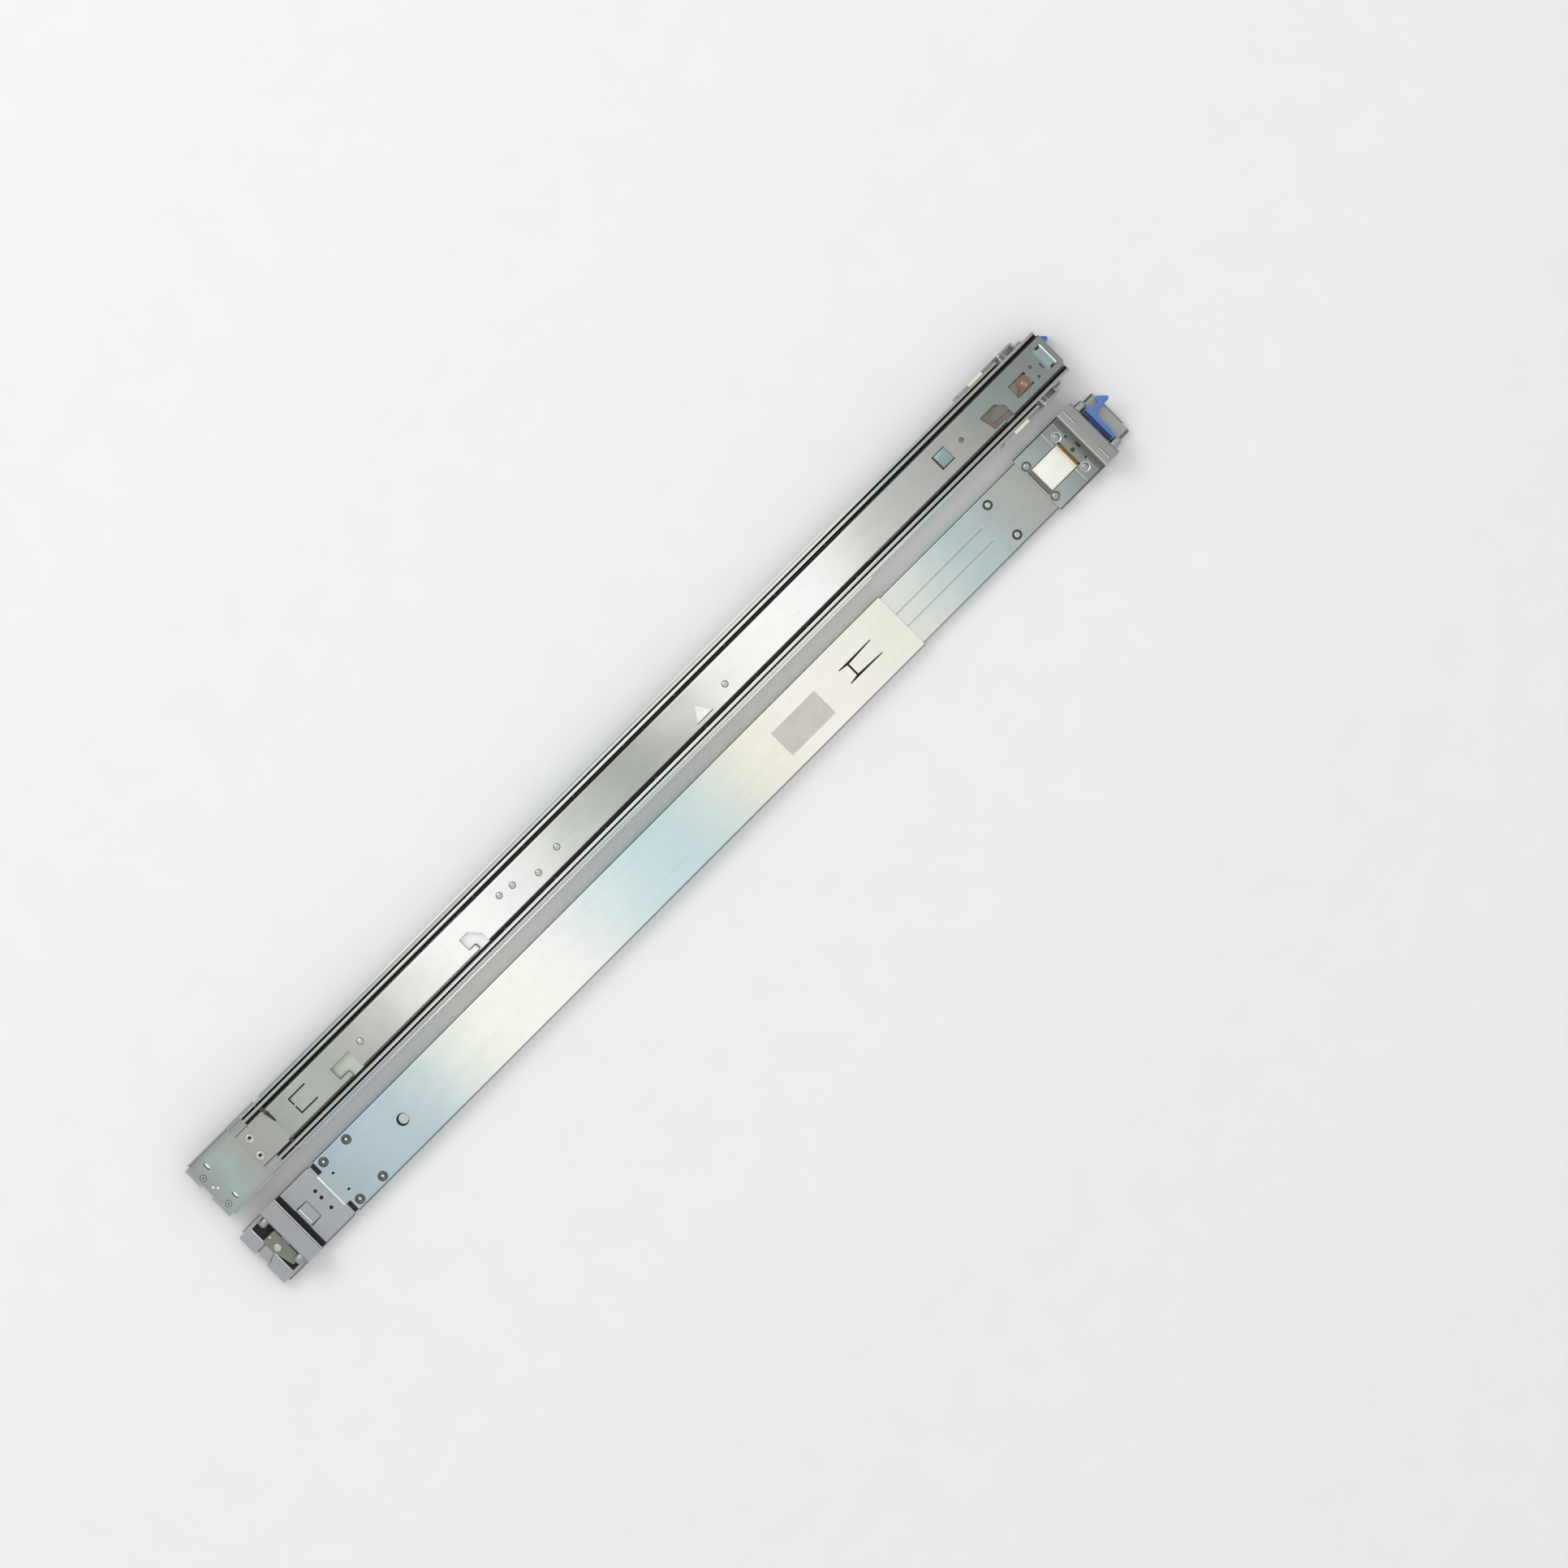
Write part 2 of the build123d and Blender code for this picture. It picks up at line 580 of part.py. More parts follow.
def front_bracket():
    """Front bracket: a plate over the web, side flanges and the folded rack flange."""
    rear = FRONT_BRACKET_REAR
    hat_rear = FRONT_FACE - FRONT_HAT_LENGTH
    wall = FRONT_SHEET / 2
    window_rear = FRONT_FACE - FRONT_WINDOW_INSET - FRONT_WINDOW_LENGTH
    glide_rear = FRONT_FACE - GLIDE_INSET - GLIDE_LENGTH
    with BuildPart() as bracket:
        with BuildSketch(Plane.YZ.offset(rear)):
            channel_section(FRONT_HALF, FRONT_PLATE, FRONT_FLANGE_DEPTH, FRONT_SHEET)
        extrude(amount=hat_rear + FRONT_SHEET - rear)
        # Side flanges start a little ahead of the plate and stop round the glides
        with BuildSketch(Plane.XY.offset(level(OUTER_WEB))):
            for side in (-1, 1):
                edges = sorted((side * (FRONT_HALF - FRONT_SHEET - FIT), side * FRONT_HALF))
                plan_rectangle(rear, rear + FRONT_SIDE_INSET, *edges)
                plan_rectangle(glide_rear - FIT, glide_rear + GLIDE_LENGTH + FIT, *edges)
        extrude(amount=FRONT_FLANGE_DEPTH, mode=Mode.SUBTRACT)
        # Rack flange, folded outwards and forwards to the front wall
        with BuildSketch(Plane.XZ):
            with BuildLine():
                fold = [
                    (hat_rear + wall, level(FRONT_PLATE + wall)),
                    (hat_rear + wall, level(wall - FLANGE_OUT)),
                    (FRONT_FACE - wall, level(wall - FLANGE_OUT)),
                    (FRONT_FACE - wall, level(FRONT_FLANGE_DEPTH)),
                ]
                FilletPolyline(*fold, radius=BEND)
            trace(line_width=FRONT_SHEET)
        extrude(amount=FRONT_HALF, both=True)
        # Side cheeks join the front wall to the side flanges
        for side in (-1, 1):
            with BuildSketch(Plane.XY.offset(level(FRONT_PLATE))):
                edges = sorted((side * (FRONT_HALF - FRONT_SHEET), side * FRONT_HALF))
                plan_rectangle(hat_rear, FRONT_FACE, *edges)
            extrude(amount=FRONT_FLANGE_DEPTH - FRONT_PLATE)
        # The slide runs out through the front wall
        opening_end = FRONT_FLANGE_DEPTH + FRONT_OPENING_OVERRUN
        with BuildSketch(Plane.YZ.offset(FRONT_FACE)):
            with Locations((0, level((OUTER_WEB + opening_end) / 2))):
                Rectangle(2 * FRONT_OPENING_HALF, opening_end - OUTER_WEB)
            slot = LATCH_TAIL_THICKNESS + LATCH_SLOT_OUT + LATCH_SLOT_IN
            with Locations((0, level(-PIN_OUT + (LATCH_SLOT_IN - LATCH_SLOT_OUT) / 2))):
                Rectangle(2 * (LATCH_TAIL_HALF + LOOSE_FIT), slot)
        extrude(amount=-FRONT_SHEET, mode=Mode.SUBTRACT)
        # Window for the slide block, and the two slits in the top of the fold
        with BuildSketch(Plane.XY.offset(level(FRONT_PLATE))):
            with Locations((window_rear + FRONT_WINDOW_LENGTH / 2, 0)):
                Rectangle(FRONT_WINDOW_LENGTH, 2 * FRONT_WINDOW_HALF)
            with Locations(*front_rivet_places()):
                Circle(FRONT_RIVET_RADIUS)
        extrude(amount=FRONT_SHEET, mode=Mode.SUBTRACT)
        slit = FRONT_FACE - FRONT_GROOVE_INSET
        with BuildSketch(Plane.XY.offset(level(-FLANGE_OUT))):
            for side in (-1, 1):
                edges = sorted((side * (EAR_GAP + EAR_SHEET), side * FRONT_GROOVE_END))
                plan_rectangle(slit - FRONT_GROOVE_WIDTH / 2, slit + FRONT_GROOVE_WIDTH / 2, *edges)
        extrude(amount=FRONT_SHEET, mode=Mode.SUBTRACT)
        # Ears under the fold, which carry the latch's hinge pin
        pivot = FRONT_FACE - LATCH_PIVOT_INSET
        for side in (-1, 1):
            with BuildSketch(Plane.XZ.offset(-side * EAR_GAP)):
                with Locations((pivot, level(FRONT_SHEET - FLANGE_OUT + EAR_HEIGHT / 2))):
                    Rectangle(EAR_LENGTH, EAR_HEIGHT)
                with Locations((pivot, level(-PIN_OUT))):
                    Circle(LATCH_PIN_RADIUS, mode=Mode.SUBTRACT)
            extrude(amount=-side * EAR_SHEET)
    return bracket


def front_bracket_rivets():
    """Rivets through the front bracket and the outer member's web, flush inside."""
    with BuildPart() as rivets:
        with BuildSketch(Plane.XY.offset(level(OUTER_WEB + MEMBER_SHEET))):
            with Locations(*front_rivet_places()):
                Circle(FRONT_RIVET_RADIUS)
        extrude(amount=-MEMBER_SHEET - FRONT_SHEET - FRONT_RIVET_RISE)
    return rivets


def slide_block():
    """White moulded block in the bracket's window, with three shallow ribs."""
    length = FRONT_WINDOW_LENGTH - 2 * FIT
    rear = FRONT_FACE - FRONT_WINDOW_INSET - FRONT_WINDOW_LENGTH + FIT
    half = FRONT_WINDOW_HALF - FIT
    with BuildPart() as block:
        with BuildSketch(Plane.XY.offset(level(OUTER_WEB))):
            plan_rectangle(rear, rear + length, -half, half)
        extrude(amount=-FRONT_SHEET - BLOCK_RISE)
        with BuildSketch(Plane.XY.offset(level(FRONT_PLATE - BLOCK_RISE))):
            with Locations(*[(rear + length / 2, y) for y in (-half / 2, 0, half / 2)]):
                Rectangle(length - BLOCK_RIDGE_WIDTH, BLOCK_RIDGE_WIDTH)
        extrude(amount=-BLOCK_RIDGE)
    return block


def side_glides():
    """Two moulded glides in the side flanges' gaps, against the outer member."""
    rear = FRONT_FACE - GLIDE_INSET - GLIDE_LENGTH
    with BuildPart() as glides:
        with BuildSketch(Plane.XY.offset(level(OUTER_WEB))):
            for side in (-1, 1):
                edges = sorted((side * OUTER_HALF, side * FRONT_HALF))
                plan_rectangle(rear, rear + GLIDE_LENGTH, *edges)
        extrude(amount=GLIDE_DEPTH)
    return glides


def front_latch():
    """Blue latch: a barrel on the hinge pin, a tail through the wall, a bar and a hooked arm."""
    pivot = FRONT_FACE - LATCH_PIVOT_INSET
    bar_rear = FRONT_FACE + LATCH_FACE_GAP
    bar_front = bar_rear + LATCH_BAR_LENGTH
    bar_half = PIN_SPACING / 2 - PIN_RADIUS - LATCH_PIN_GAP
    with BuildPart() as latch:
        with BuildSketch(Plane.XY.offset(level(-PIN_OUT - LATCH_THICKNESS / 2))) as outline:
            plan_rectangle(bar_rear, bar_front, -bar_half, bar_half)
            hook_rear = LATCH_TIP - LATCH_HOOK_LENGTH
            arm_rear = bar_front - SLOT_ROUND
            neck = LATCH_ARM_HIGH - SLOT_ROUND
            corners = [
                (arm_rear, LATCH_ARM_LOW), (LATCH_TIP, LATCH_ARM_LOW), (LATCH_TIP, LATCH_ARM_HIGH),
                (hook_rear, LATCH_HOOK_HIGH), (hook_rear - SLOT_ROUND, neck), (arm_rear, neck),
            ]
            Polygon(*corners, align=None)
            fillet(outline.vertices().group_by(Axis.X)[-1], 2 * SLOT_ROUND)
        extrude(amount=LATCH_THICKNESS)
        with BuildSketch(Plane.XY.offset(level(-PIN_OUT - LATCH_TAIL_THICKNESS / 2))):
            plan_rectangle(pivot, bar_rear, -LATCH_TAIL_HALF, LATCH_TAIL_HALF)
        extrude(amount=LATCH_TAIL_THICKNESS)
        with BuildSketch(Plane.XZ):
            with Locations((pivot, level(-PIN_OUT))):
                Circle(LATCH_BARREL_RADIUS)
        extrude(amount=LATCH_TAIL_HALF, both=True)
        with BuildSketch(Plane.XZ):
            with Locations((pivot, level(-PIN_OUT))):
                Circle(LATCH_PIN_RADIUS + FIT)
        extrude(amount=LATCH_TAIL_HALF, both=True, mode=Mode.SUBTRACT)
    return latch


def front_latch_pin():
    """Hinge pin of the latch, from ear to ear."""
    with BuildPart() as pin:
        with BuildSketch(Plane.XZ):
            with Locations((FRONT_FACE - LATCH_PIVOT_INSET, level(-PIN_OUT))):
                Circle(LATCH_PIN_RADIUS)
        extrude(amount=EAR_GAP + EAR_SHEET, both=True)
    return pin


def front_latch_spring():
    """Torsion spring's coil round the hinge pin, between the latch and an ear."""
    with BuildPart() as spring:
        with BuildSketch(Plane.XZ.offset(LATCH_TAIL_HALF + LOOSE_FIT)):
            with Locations((FRONT_FACE - LATCH_PIVOT_INSET, level(-PIN_OUT))):
                Circle(LATCH_PIN_RADIUS + LOOSE_FIT + SPRING_WALL)
                Circle(LATCH_PIN_RADIUS + LOOSE_FIT, mode=Mode.SUBTRACT)
        extrude(amount=EAR_GAP - LATCH_TAIL_HALF - LOOSE_FIT)
    return spring


def intermediate_member():
    """Intermediate member, whose stepped walls are races on both their sides."""
    middle = MEMBER_SHEET / 2
    low = MIDDLE_OUTER_RACE - middle
    high = MIDDLE_INNER_RACE + middle
    with BuildPart() as member:
        with BuildSketch(Plane.YZ.offset(MIDDLE_REAR)):
            wall = [
                (low, level(MIDDLE_WEB + middle)), (low, level(MIDDLE_JOG_DEPTH)),
                (high, level(MIDDLE_JOG_DEPTH + high - low)), (high, level(MIDDLE_DEPTH)),
            ]
            formed_sheet(wall, MEMBER_SHEET)
        extrude(amount=MIDDLE_LENGTH)
        with BuildSketch(Plane.XY.offset(level(MIDDLE_WEB))):
            with Locations((MIDDLE_REAR - MIDDLE_TONGUE_LENGTH / 2, 0)):
                Rectangle(MIDDLE_TONGUE_LENGTH, 2 * MIDDLE_TONGUE_HALF)
        extrude(amount=MEMBER_SHEET)
        part_at_bends(MIDDLE_OUTER_RACE, MEMBER_SHEET)
    return member


def rear_bumper():
    """Rubber stop on the intermediate member's web, behind the inner member."""
    front = INNER_REAR - SIDE_GAP
    with BuildPart() as bumper:
        with BuildSketch(Plane.XY.offset(level(MIDDLE_WEB + MEMBER_SHEET))):
            plan_rectangle(front - BUMPER_LENGTH, front, BUMPER_LOW, BUMPER_HIGH)
        extrude(amount=BUMPER_DEPTH - MIDDLE_WEB - MEMBER_SHEET)
    return bumper


def ball_cage(span, web, side, ball_depth):
    """Thin C-shaped cage whose two sides have a window for every ball."""
    start, end = span
    depth = ball_depth + BALL_RADIUS + CAGE_LIP
    middle = CAGE_SHEET / 2
    pocket = BALL_RADIUS + FIT
    with BuildPart() as cage:
        with BuildSketch(Plane.YZ.offset(start)):
            with Locations((0, level(web + middle))):
                Rectangle(2 * side + CAGE_SIDE, CAGE_SHEET)
            for hand in (-1, 1):
                with Locations((hand * side, level((web + depth) / 2))):
                    Rectangle(CAGE_SIDE, depth - web)
        extrude(amount=end - start)
        with BuildSketch(Plane.XZ):
            for x in ball_stations(start, end):
                with Locations((x, level(ball_depth))):
                    Rectangle(2 * pocket, 2 * pocket)
        extrude(amount=side + CAGE_SIDE, both=True, mode=Mode.SUBTRACT)
    return cage


def ball():
    """One ball, with flats that touch its sphere, so that a long row of them stays light."""
    with BuildPart() as one:
        Box(2 * BALL_RADIUS, 2 * BALL_RADIUS, 2 * BALL_RADIUS)
        chamfer(one.edges(), (2 - 2**0.5) * BALL_RADIUS)
    return one


def ball_rows(span, y, depth):
    """Two rows of balls, each ball its own solid."""
    one = ball()
    with BuildPart() as balls:
        with Locations(*[(x, hand * y, level(depth)) for x in ball_stations(*span) for hand in (-1, 1)]):
            add(one.part)
    return balls


def inner_section():
    """Sketch the inner member's C section, which opens towards the rack."""
    middle = MEMBER_SHEET / 2
    side = INNER_HALF - middle
    formed_sheet([(side, level(INNER_WEB + middle)), (side, level(INNER_FLANGE_DEPTH))], MEMBER_SHEET)


def inner_member():
    """Inner member with the hooked slots that take the server's studs."""
    rear, front = INNER_REAR, INNER_FRONT
    edge = -INNER_HALF - FIT
    with BuildPart() as member:
        with BuildSketch(Plane.YZ.offset(rear)):
            inner_section()
        extrude(amount=INNER_LENGTH)
        # Slots open to the upper edge, with a ledge that the stud slides under
        with BuildSketch(Plane.XY.offset(level(INNER_FLANGE_DEPTH))) as slots:
            x0 = rear + LEDGE_SLOT_REAR
            x1 = x0 + LEDGE_SLOT_LENGTH
            mouth = x1 - LEDGE_SLOT_MOUTH
            Polygon(
                (x0, LEDGE_SLOT_TOP), (x1, LEDGE_SLOT_TOP), (x1, edge), (mouth, edge),
                (mouth, LEDGE_SLOT_LEDGE), (x0, LEDGE_SLOT_LEDGE), align=None,
            )
            x0 = rear + CURVED_SLOT_REAR
            x1 = x0 + CURVED_SLOT_LENGTH
            mouth = x1 - CURVED_SLOT_MOUTH
            Polygon(
                (x0, LEDGE_SLOT_TOP), (x0 + CURVED_SLOT_TOP_LENGTH, LEDGE_SLOT_TOP),
                (x1, CURVED_SLOT_SHOULDER), (x1, edge), (mouth, edge),
                (mouth, LEDGE_SLOT_LEDGE), (x0, LEDGE_SLOT_LEDGE), align=None,
            )
            x0 = front - FRONT_SLOT_INSET
            x1 = x0 + FRONT_SLOT_LENGTH
            mouth = x1 - FRONT_SLOT_MOUTH
            Polygon(
                (x0, FRONT_SLOT_TOP), (x1 - FRONT_SLOT_SHOULDER, FRONT_SLOT_TOP),
                (x1, FRONT_SLOT_TOP - FRONT_SLOT_SHOULDER), (x1, edge), (mouth, edge),
                (mouth, FRONT_SLOT_LEDGE), (x0 + FRONT_SLOT_SHOULDER / 2, FRONT_SLOT_LEDGE), align=None,
            )
            fillet([v for v in slots.vertices() if v.Y > edge + FIT], SLOT_ROUND)
            # Bevelled front corner
            bevel = INNER_CORNER - INNER_HALF
            Polygon((front, edge), (front, bevel), (front - INNER_CORNER, edge), align=None)
        extrude(amount=INNER_DEPTH - INNER_FLANGE_DEPTH, mode=Mode.SUBTRACT)
        # Windows and holes in the web alone
        with BuildSketch(Plane.XY.offset(level(INNER_WEB))):
            x0 = rear + TRIANGLE_REAR
            apex = (x0 + TRIANGLE_LENGTH / 2, TRIANGLE_APEX)
            Polygon((x0, TRIANGLE_BASE), (x0 + TRIANGLE_LENGTH, TRIANGLE_BASE), apex, align=None)
            x0 = front - TAB_WINDOW_INSET
            plan_rectangle(x0, x0 + TAB_WINDOW_LENGTH, -TAB_WINDOW_HALF, TAB_WINDOW_HALF)
            x0 = front - FRONT_OPENING_INSET
            plan_rectangle(x0, x0 + FRONT_OPENING_LENGTH, -FRONT_OPENING_Y, FRONT_OPENING_Y)
            x0 = front - LEVER_WINDOW_INSET
            x1 = x0 + LEVER_WINDOW_LENGTH
            plan_rectangle(x0, x1, LEVER_WINDOW_BOTTOM, LEVER_WINDOW_TOP)
            tongue = front - LEVER_PIVOT_INSET - LEVER_HEAD_RADIUS - 2 * SLOT_ROUND
            with Locations(((tongue + x1) / 2, (LEVER_TONGUE_TOP + LEVER_TONGUE_BOTTOM) / 2)):
                Rectangle(x1 - tongue, LEVER_TONGUE_TOP - LEVER_TONGUE_BOTTOM, mode=Mode.SUBTRACT)
            with Locations((front - LEVER_PIVOT_INSET, LEVER_PIVOT_Y)):
                Circle(LEVER_HEAD_RADIUS)
            with Locations((front - TAB_HOLE_INSET, 0)):
                Circle(TAB_HOLE_RADIUS)
            with Locations((front - INNER_SCREW_INSET, INNER_SCREW_Y)):
                Circle(INNER_SCREW_RADIUS)
            with Locations((front - INNER_SCREW_INSET, INNER_PILOT_Y)):
                Circle(INNER_PILOT_RADIUS)
            with Locations((front - FRONT_SLIT_INSET, FRONT_SLIT_Y)):
                Rectangle(FRONT_SLIT_WIDTH, FRONT_SLIT_LENGTH)
            with Locations(*[(rear + x, y) for x, y in WEB_RIVETS]):
                Circle(WEB_RIVET_RADIUS)
            # Lanced tongue near the rear end
            x0 = rear + LANCE_C_REAR
            x1 = x0 + LANCE_C_LENGTH
            plan_rectangle(x0, x0 + LANCE_C_WIDTH, -LANCE_C_HALF, LANCE_C_HALF)
            plan_rectangle(x0, x1, LANCE_C_HALF - LANCE_C_WIDTH, LANCE_C_HALF)
            plan_rectangle(x0, x1, -LANCE_C_HALF, LANCE_C_WIDTH - LANCE_C_HALF)
        extrude(amount=MEMBER_SHEET, mode=Mode.SUBTRACT)
        # Coined circles in the web's face
        with BuildSketch(Plane.XY.offset(level(INNER_DEPTH))):
            with Locations(*[(rear + x, y) for x, y in COINS]):
                Circle(COIN_RADIUS)
        extrude(amount=-COIN_DEPTH, mode=Mode.SUBTRACT)
        part_at_bends(INNER_HALF, MEMBER_SHEET)
    return member


def inner_member_rivets():
    """Three rivets, flush in the inner member's web."""
    with BuildPart() as rivets:
        with BuildSketch(Plane.XY.offset(level(INNER_WEB))):
            with Locations(*[(INNER_REAR + x, y) for x, y in WEB_RIVETS]):
                Circle(WEB_RIVET_RADIUS)
        extrude(amount=MEMBER_SHEET)
    return rivets


def lock_lever():
    """Lever under the inner member's web that locks the front stud in its slot."""
    pivot_x = INNER_FRONT - LEVER_PIVOT_INSET
    nose = pivot_x - LEVER_NOSE_REACH
    top = INNER_WEB - FIT
    with BuildPart() as lever:
        with BuildSketch(Plane.XY.offset(level(top))) as outline:
            heel = pivot_x + LEVER_HEEL
            corners = [
                (heel, LEVER_HEEL_BOTTOM), (heel, LEVER_HEEL_TOP), (pivot_x - LEVER_SHOULDER_REACH, LEVER_SHOULDER),
                (nose + LEVER_NECK, LEVER_NECK_TOP), (nose, LEVER_NOSE_TOP),
                (nose, LEVER_NOSE_BOTTOM), (nose + LEVER_BELLY, LEVER_BELLY_BOTTOM),
            ]
            Polygon(*corners, align=None)
            fillet(outline.vertices(), SLOT_ROUND)
            with Locations((pivot_x, LEVER_PIVOT_Y)):
                Circle(LEVER_SHANK_RADIUS + FIT, mode=Mode.SUBTRACT)
        extrude(amount=-LEVER_SHEET)
    return lever


def lock_lever_rivet():
    """Copper rivet, flush in the web's tongue, that the lever turns on."""
    place = (INNER_FRONT - LEVER_PIVOT_INSET, LEVER_PIVOT_Y)
    foot = INNER_WEB - LEVER_SHEET - 2 * FIT
    steps = [
        (INNER_DEPTH, INNER_WEB, LEVER_HEAD_RADIUS),
        (INNER_WEB, foot, LEVER_SHANK_RADIUS),
        (foot, foot - LEVER_FOOT, LEVER_FOOT_RADIUS),
    ]
    with BuildPart() as rivet:
        for start, end, radius in steps:
            with BuildSketch(Plane.XY.offset(level(start))):
                with Locations(place):
                    Circle(radius)
            extrude(amount=end - start)
    return rivet


def label():
    """Blank label stuck on the channel's web."""
    x = CHANNEL_REAR + LABEL_INSET
    with BuildPart() as sticker:
        with BuildSketch(Plane.XY.offset(level(0))):
            plan_rectangle(x, x + LABEL_LENGTH, LABEL_Y - LABEL_WIDTH / 2, LABEL_Y + LABEL_WIDTH / 2)
        extrude(amount=-LABEL_SHEET)
    return sticker


os.makedirs("parts", exist_ok=True)

outer_span = outer_cage_span()
inner_span = inner_cage_span()

extension = {
    "rear_channel": rear_channel(),
    "rear_bracket": rear_bracket(),
    "rear_bracket_rivets": rear_bracket_rivets(),
    "rear_pins": rack_pins(REAR_FACE, -REAR_PIN_LENGTH),
    "rear_pawl": rear_pawl(),
    "rear_pawl_rivet": rear_pawl_rivet(),
}
slide = {
    "outer_member": outer_member(),
    "front_bracket": front_bracket(),
    "front_bracket_rivets": front_bracket_rivets(),
    "front_pins": rack_pins(FRONT_FACE, FRONT_PIN_LENGTH),
    "slide_block": slide_block(),
    "side_glides": side_glides(),
    "front_latch": front_latch(),
    "front_latch_pin": front_latch_pin(),
    "front_latch_spring": front_latch_spring(),
    "intermediate_member": intermediate_member(),
    "rear_bumper": rear_bumper(),
    "outer_ball_cage": ball_cage(outer_span, OUTER_CAGE_WEB, OUTER_BALL_Y, OUTER_BALL_DEPTH),
    "outer_balls": ball_rows(outer_span, OUTER_BALL_Y, OUTER_BALL_DEPTH),
    "inner_member": inner_member(),
    "inner_member_rivets": inner_member_rivets(),
    "inner_ball_cage": ball_cage(inner_span, INNER_CAGE_WEB, INNER_CAGE_Y, INNER_BALL_DEPTH),
    "inner_balls": ball_rows(inner_span, INNER_BALL_Y, INNER_BALL_DEPTH),
    "lock_lever": lock_lever(),
    "lock_lever_rivet": lock_lever_rivet(),
}
for hand in ("left", "right"):
    for name, piece in extension.items():
        write(piece, hand, name, shift=LEFT_EXTENSION_SHIFT)
    for name, piece in slide.items():
        write(piece, hand, name)
write(label(), "right", "label")
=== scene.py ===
"""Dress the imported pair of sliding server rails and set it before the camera.

The solids that the frame carries keep their places and take plated, moulded and
printed finishes. Small formed details that the solids leave out are built here.
"""

from __future__ import annotations

import logging
import math
from collections.abc import Iterable, Sequence
from dataclasses import dataclass, field
from enum import Enum
from typing import Any

import bmesh
import bpy
from mathutils import Matrix, Vector

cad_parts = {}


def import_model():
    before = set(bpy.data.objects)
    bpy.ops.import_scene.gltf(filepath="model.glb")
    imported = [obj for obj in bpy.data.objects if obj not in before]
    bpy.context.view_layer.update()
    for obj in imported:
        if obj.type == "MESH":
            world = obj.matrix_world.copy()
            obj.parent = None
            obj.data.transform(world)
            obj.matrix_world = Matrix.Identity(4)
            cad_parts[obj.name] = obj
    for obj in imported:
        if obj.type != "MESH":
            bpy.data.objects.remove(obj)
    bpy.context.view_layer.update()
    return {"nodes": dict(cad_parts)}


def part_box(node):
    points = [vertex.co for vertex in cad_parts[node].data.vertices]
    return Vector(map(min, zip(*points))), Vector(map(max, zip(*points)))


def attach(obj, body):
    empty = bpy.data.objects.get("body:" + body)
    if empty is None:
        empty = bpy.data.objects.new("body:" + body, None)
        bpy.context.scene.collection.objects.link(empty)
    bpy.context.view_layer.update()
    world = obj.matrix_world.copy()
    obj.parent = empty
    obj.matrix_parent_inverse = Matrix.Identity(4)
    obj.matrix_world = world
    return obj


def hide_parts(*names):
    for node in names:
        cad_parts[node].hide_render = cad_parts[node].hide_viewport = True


LOG = logging.getLogger("rails")
MM = 0.001
# Nearly all of a noise's values lie between these
NOISE_RANGE = {"From Min": 0.3, "From Max": 0.7}
MULTIPLY = {"data_type": "RGBA", "blend_type": "MULTIPLY"}
BEVEL_SEGMENTS = 2

Point = tuple[float, float]
Span = tuple[float, float]
Tint = tuple[float, str]


def linear(code: str) -> tuple[float, float, float, float]:
    """Turn an sRGB hex colour into linear light.

    Args:
        code: six hex digits after a hash.

    Returns:
        Red, green, blue and an alpha of one.
    """
    parts = [int(code[i : i + 2], 16) / 255 for i in (1, 3, 5)]
    light = [c / 12.92 if c <= 0.04045 else ((c + 0.055) / 1.055) ** 2.4 for c in parts]
    return (light[0], light[1], light[2], 1.0)


def add_node(
    tree: bpy.types.NodeTree,
    kind: str,
    settings: dict[str, Any] | None = None,
    links: dict[Any, Any] | None = None,
) -> bpy.types.Node:
    """Add a shader node with its settings, and fill or link its inputs.

    Args:
        tree: the node tree that takes it.
        kind: the node's type name.
        settings: attributes of the node.
        links: input names or places, each with a value or an output socket.

    Returns:
        The new node.
    """
    node = tree.nodes.new(kind)
    for key, value in (settings or {}).items():
        setattr(node, key, value)
    for key, value in (links or {}).items():
        if isinstance(value, bpy.types.NodeSocket):
            tree.links.new(value, node.inputs[key])
        else:
            node.inputs[key].default_value = value
    return node


def grain(tree: bpy.types.NodeTree, sizes: tuple[float, float, float], detail: float = 2.0) -> Any:
    """Lay a random pattern over the piece, whose cells have a real size.

    Args:
        tree: the node tree.
        sizes: a cell's size along x, y and z in millimetres.
        detail: the number of finer octaves.

    Returns:
        The pattern's value socket.
    """
    place = add_node(tree, "ShaderNodeTexCoord").outputs["Object"]
    scale = tuple(1.0 / (size * MM) for size in sizes)
    spread = add_node(tree, "ShaderNodeMapping", {}, {"Vector": place, "Scale": scale})
    links = {"Vector": spread.outputs["Vector"], "Scale": 1.0, "Detail": detail, "Roughness": 0.55}
    return add_node(tree, "ShaderNodeTexNoise", {}, links).outputs["Fac"]


def toned(tree: bpy.types.NodeTree, colour: Any, pattern: Any, darkest: float) -> Any:
    """Darken a colour where a pattern is low.

    Args:
        tree: the node tree.
        colour: the colour's socket or value.
        pattern: the pattern's socket.
        darkest: the share of the colour that is left where the pattern is lowest.

    Returns:
        The toned colour's socket.
    """
    links = {"Value": pattern, **NOISE_RANGE, "To Min": darkest, "To Max": 1.0}
    share = add_node(tree, "ShaderNodeMapRange", {}, links).outputs["Result"]
    return add_node(tree, "ShaderNodeMix", MULTIPLY, {0: 1.0, 6: colour, 7: share}).outputs[2]


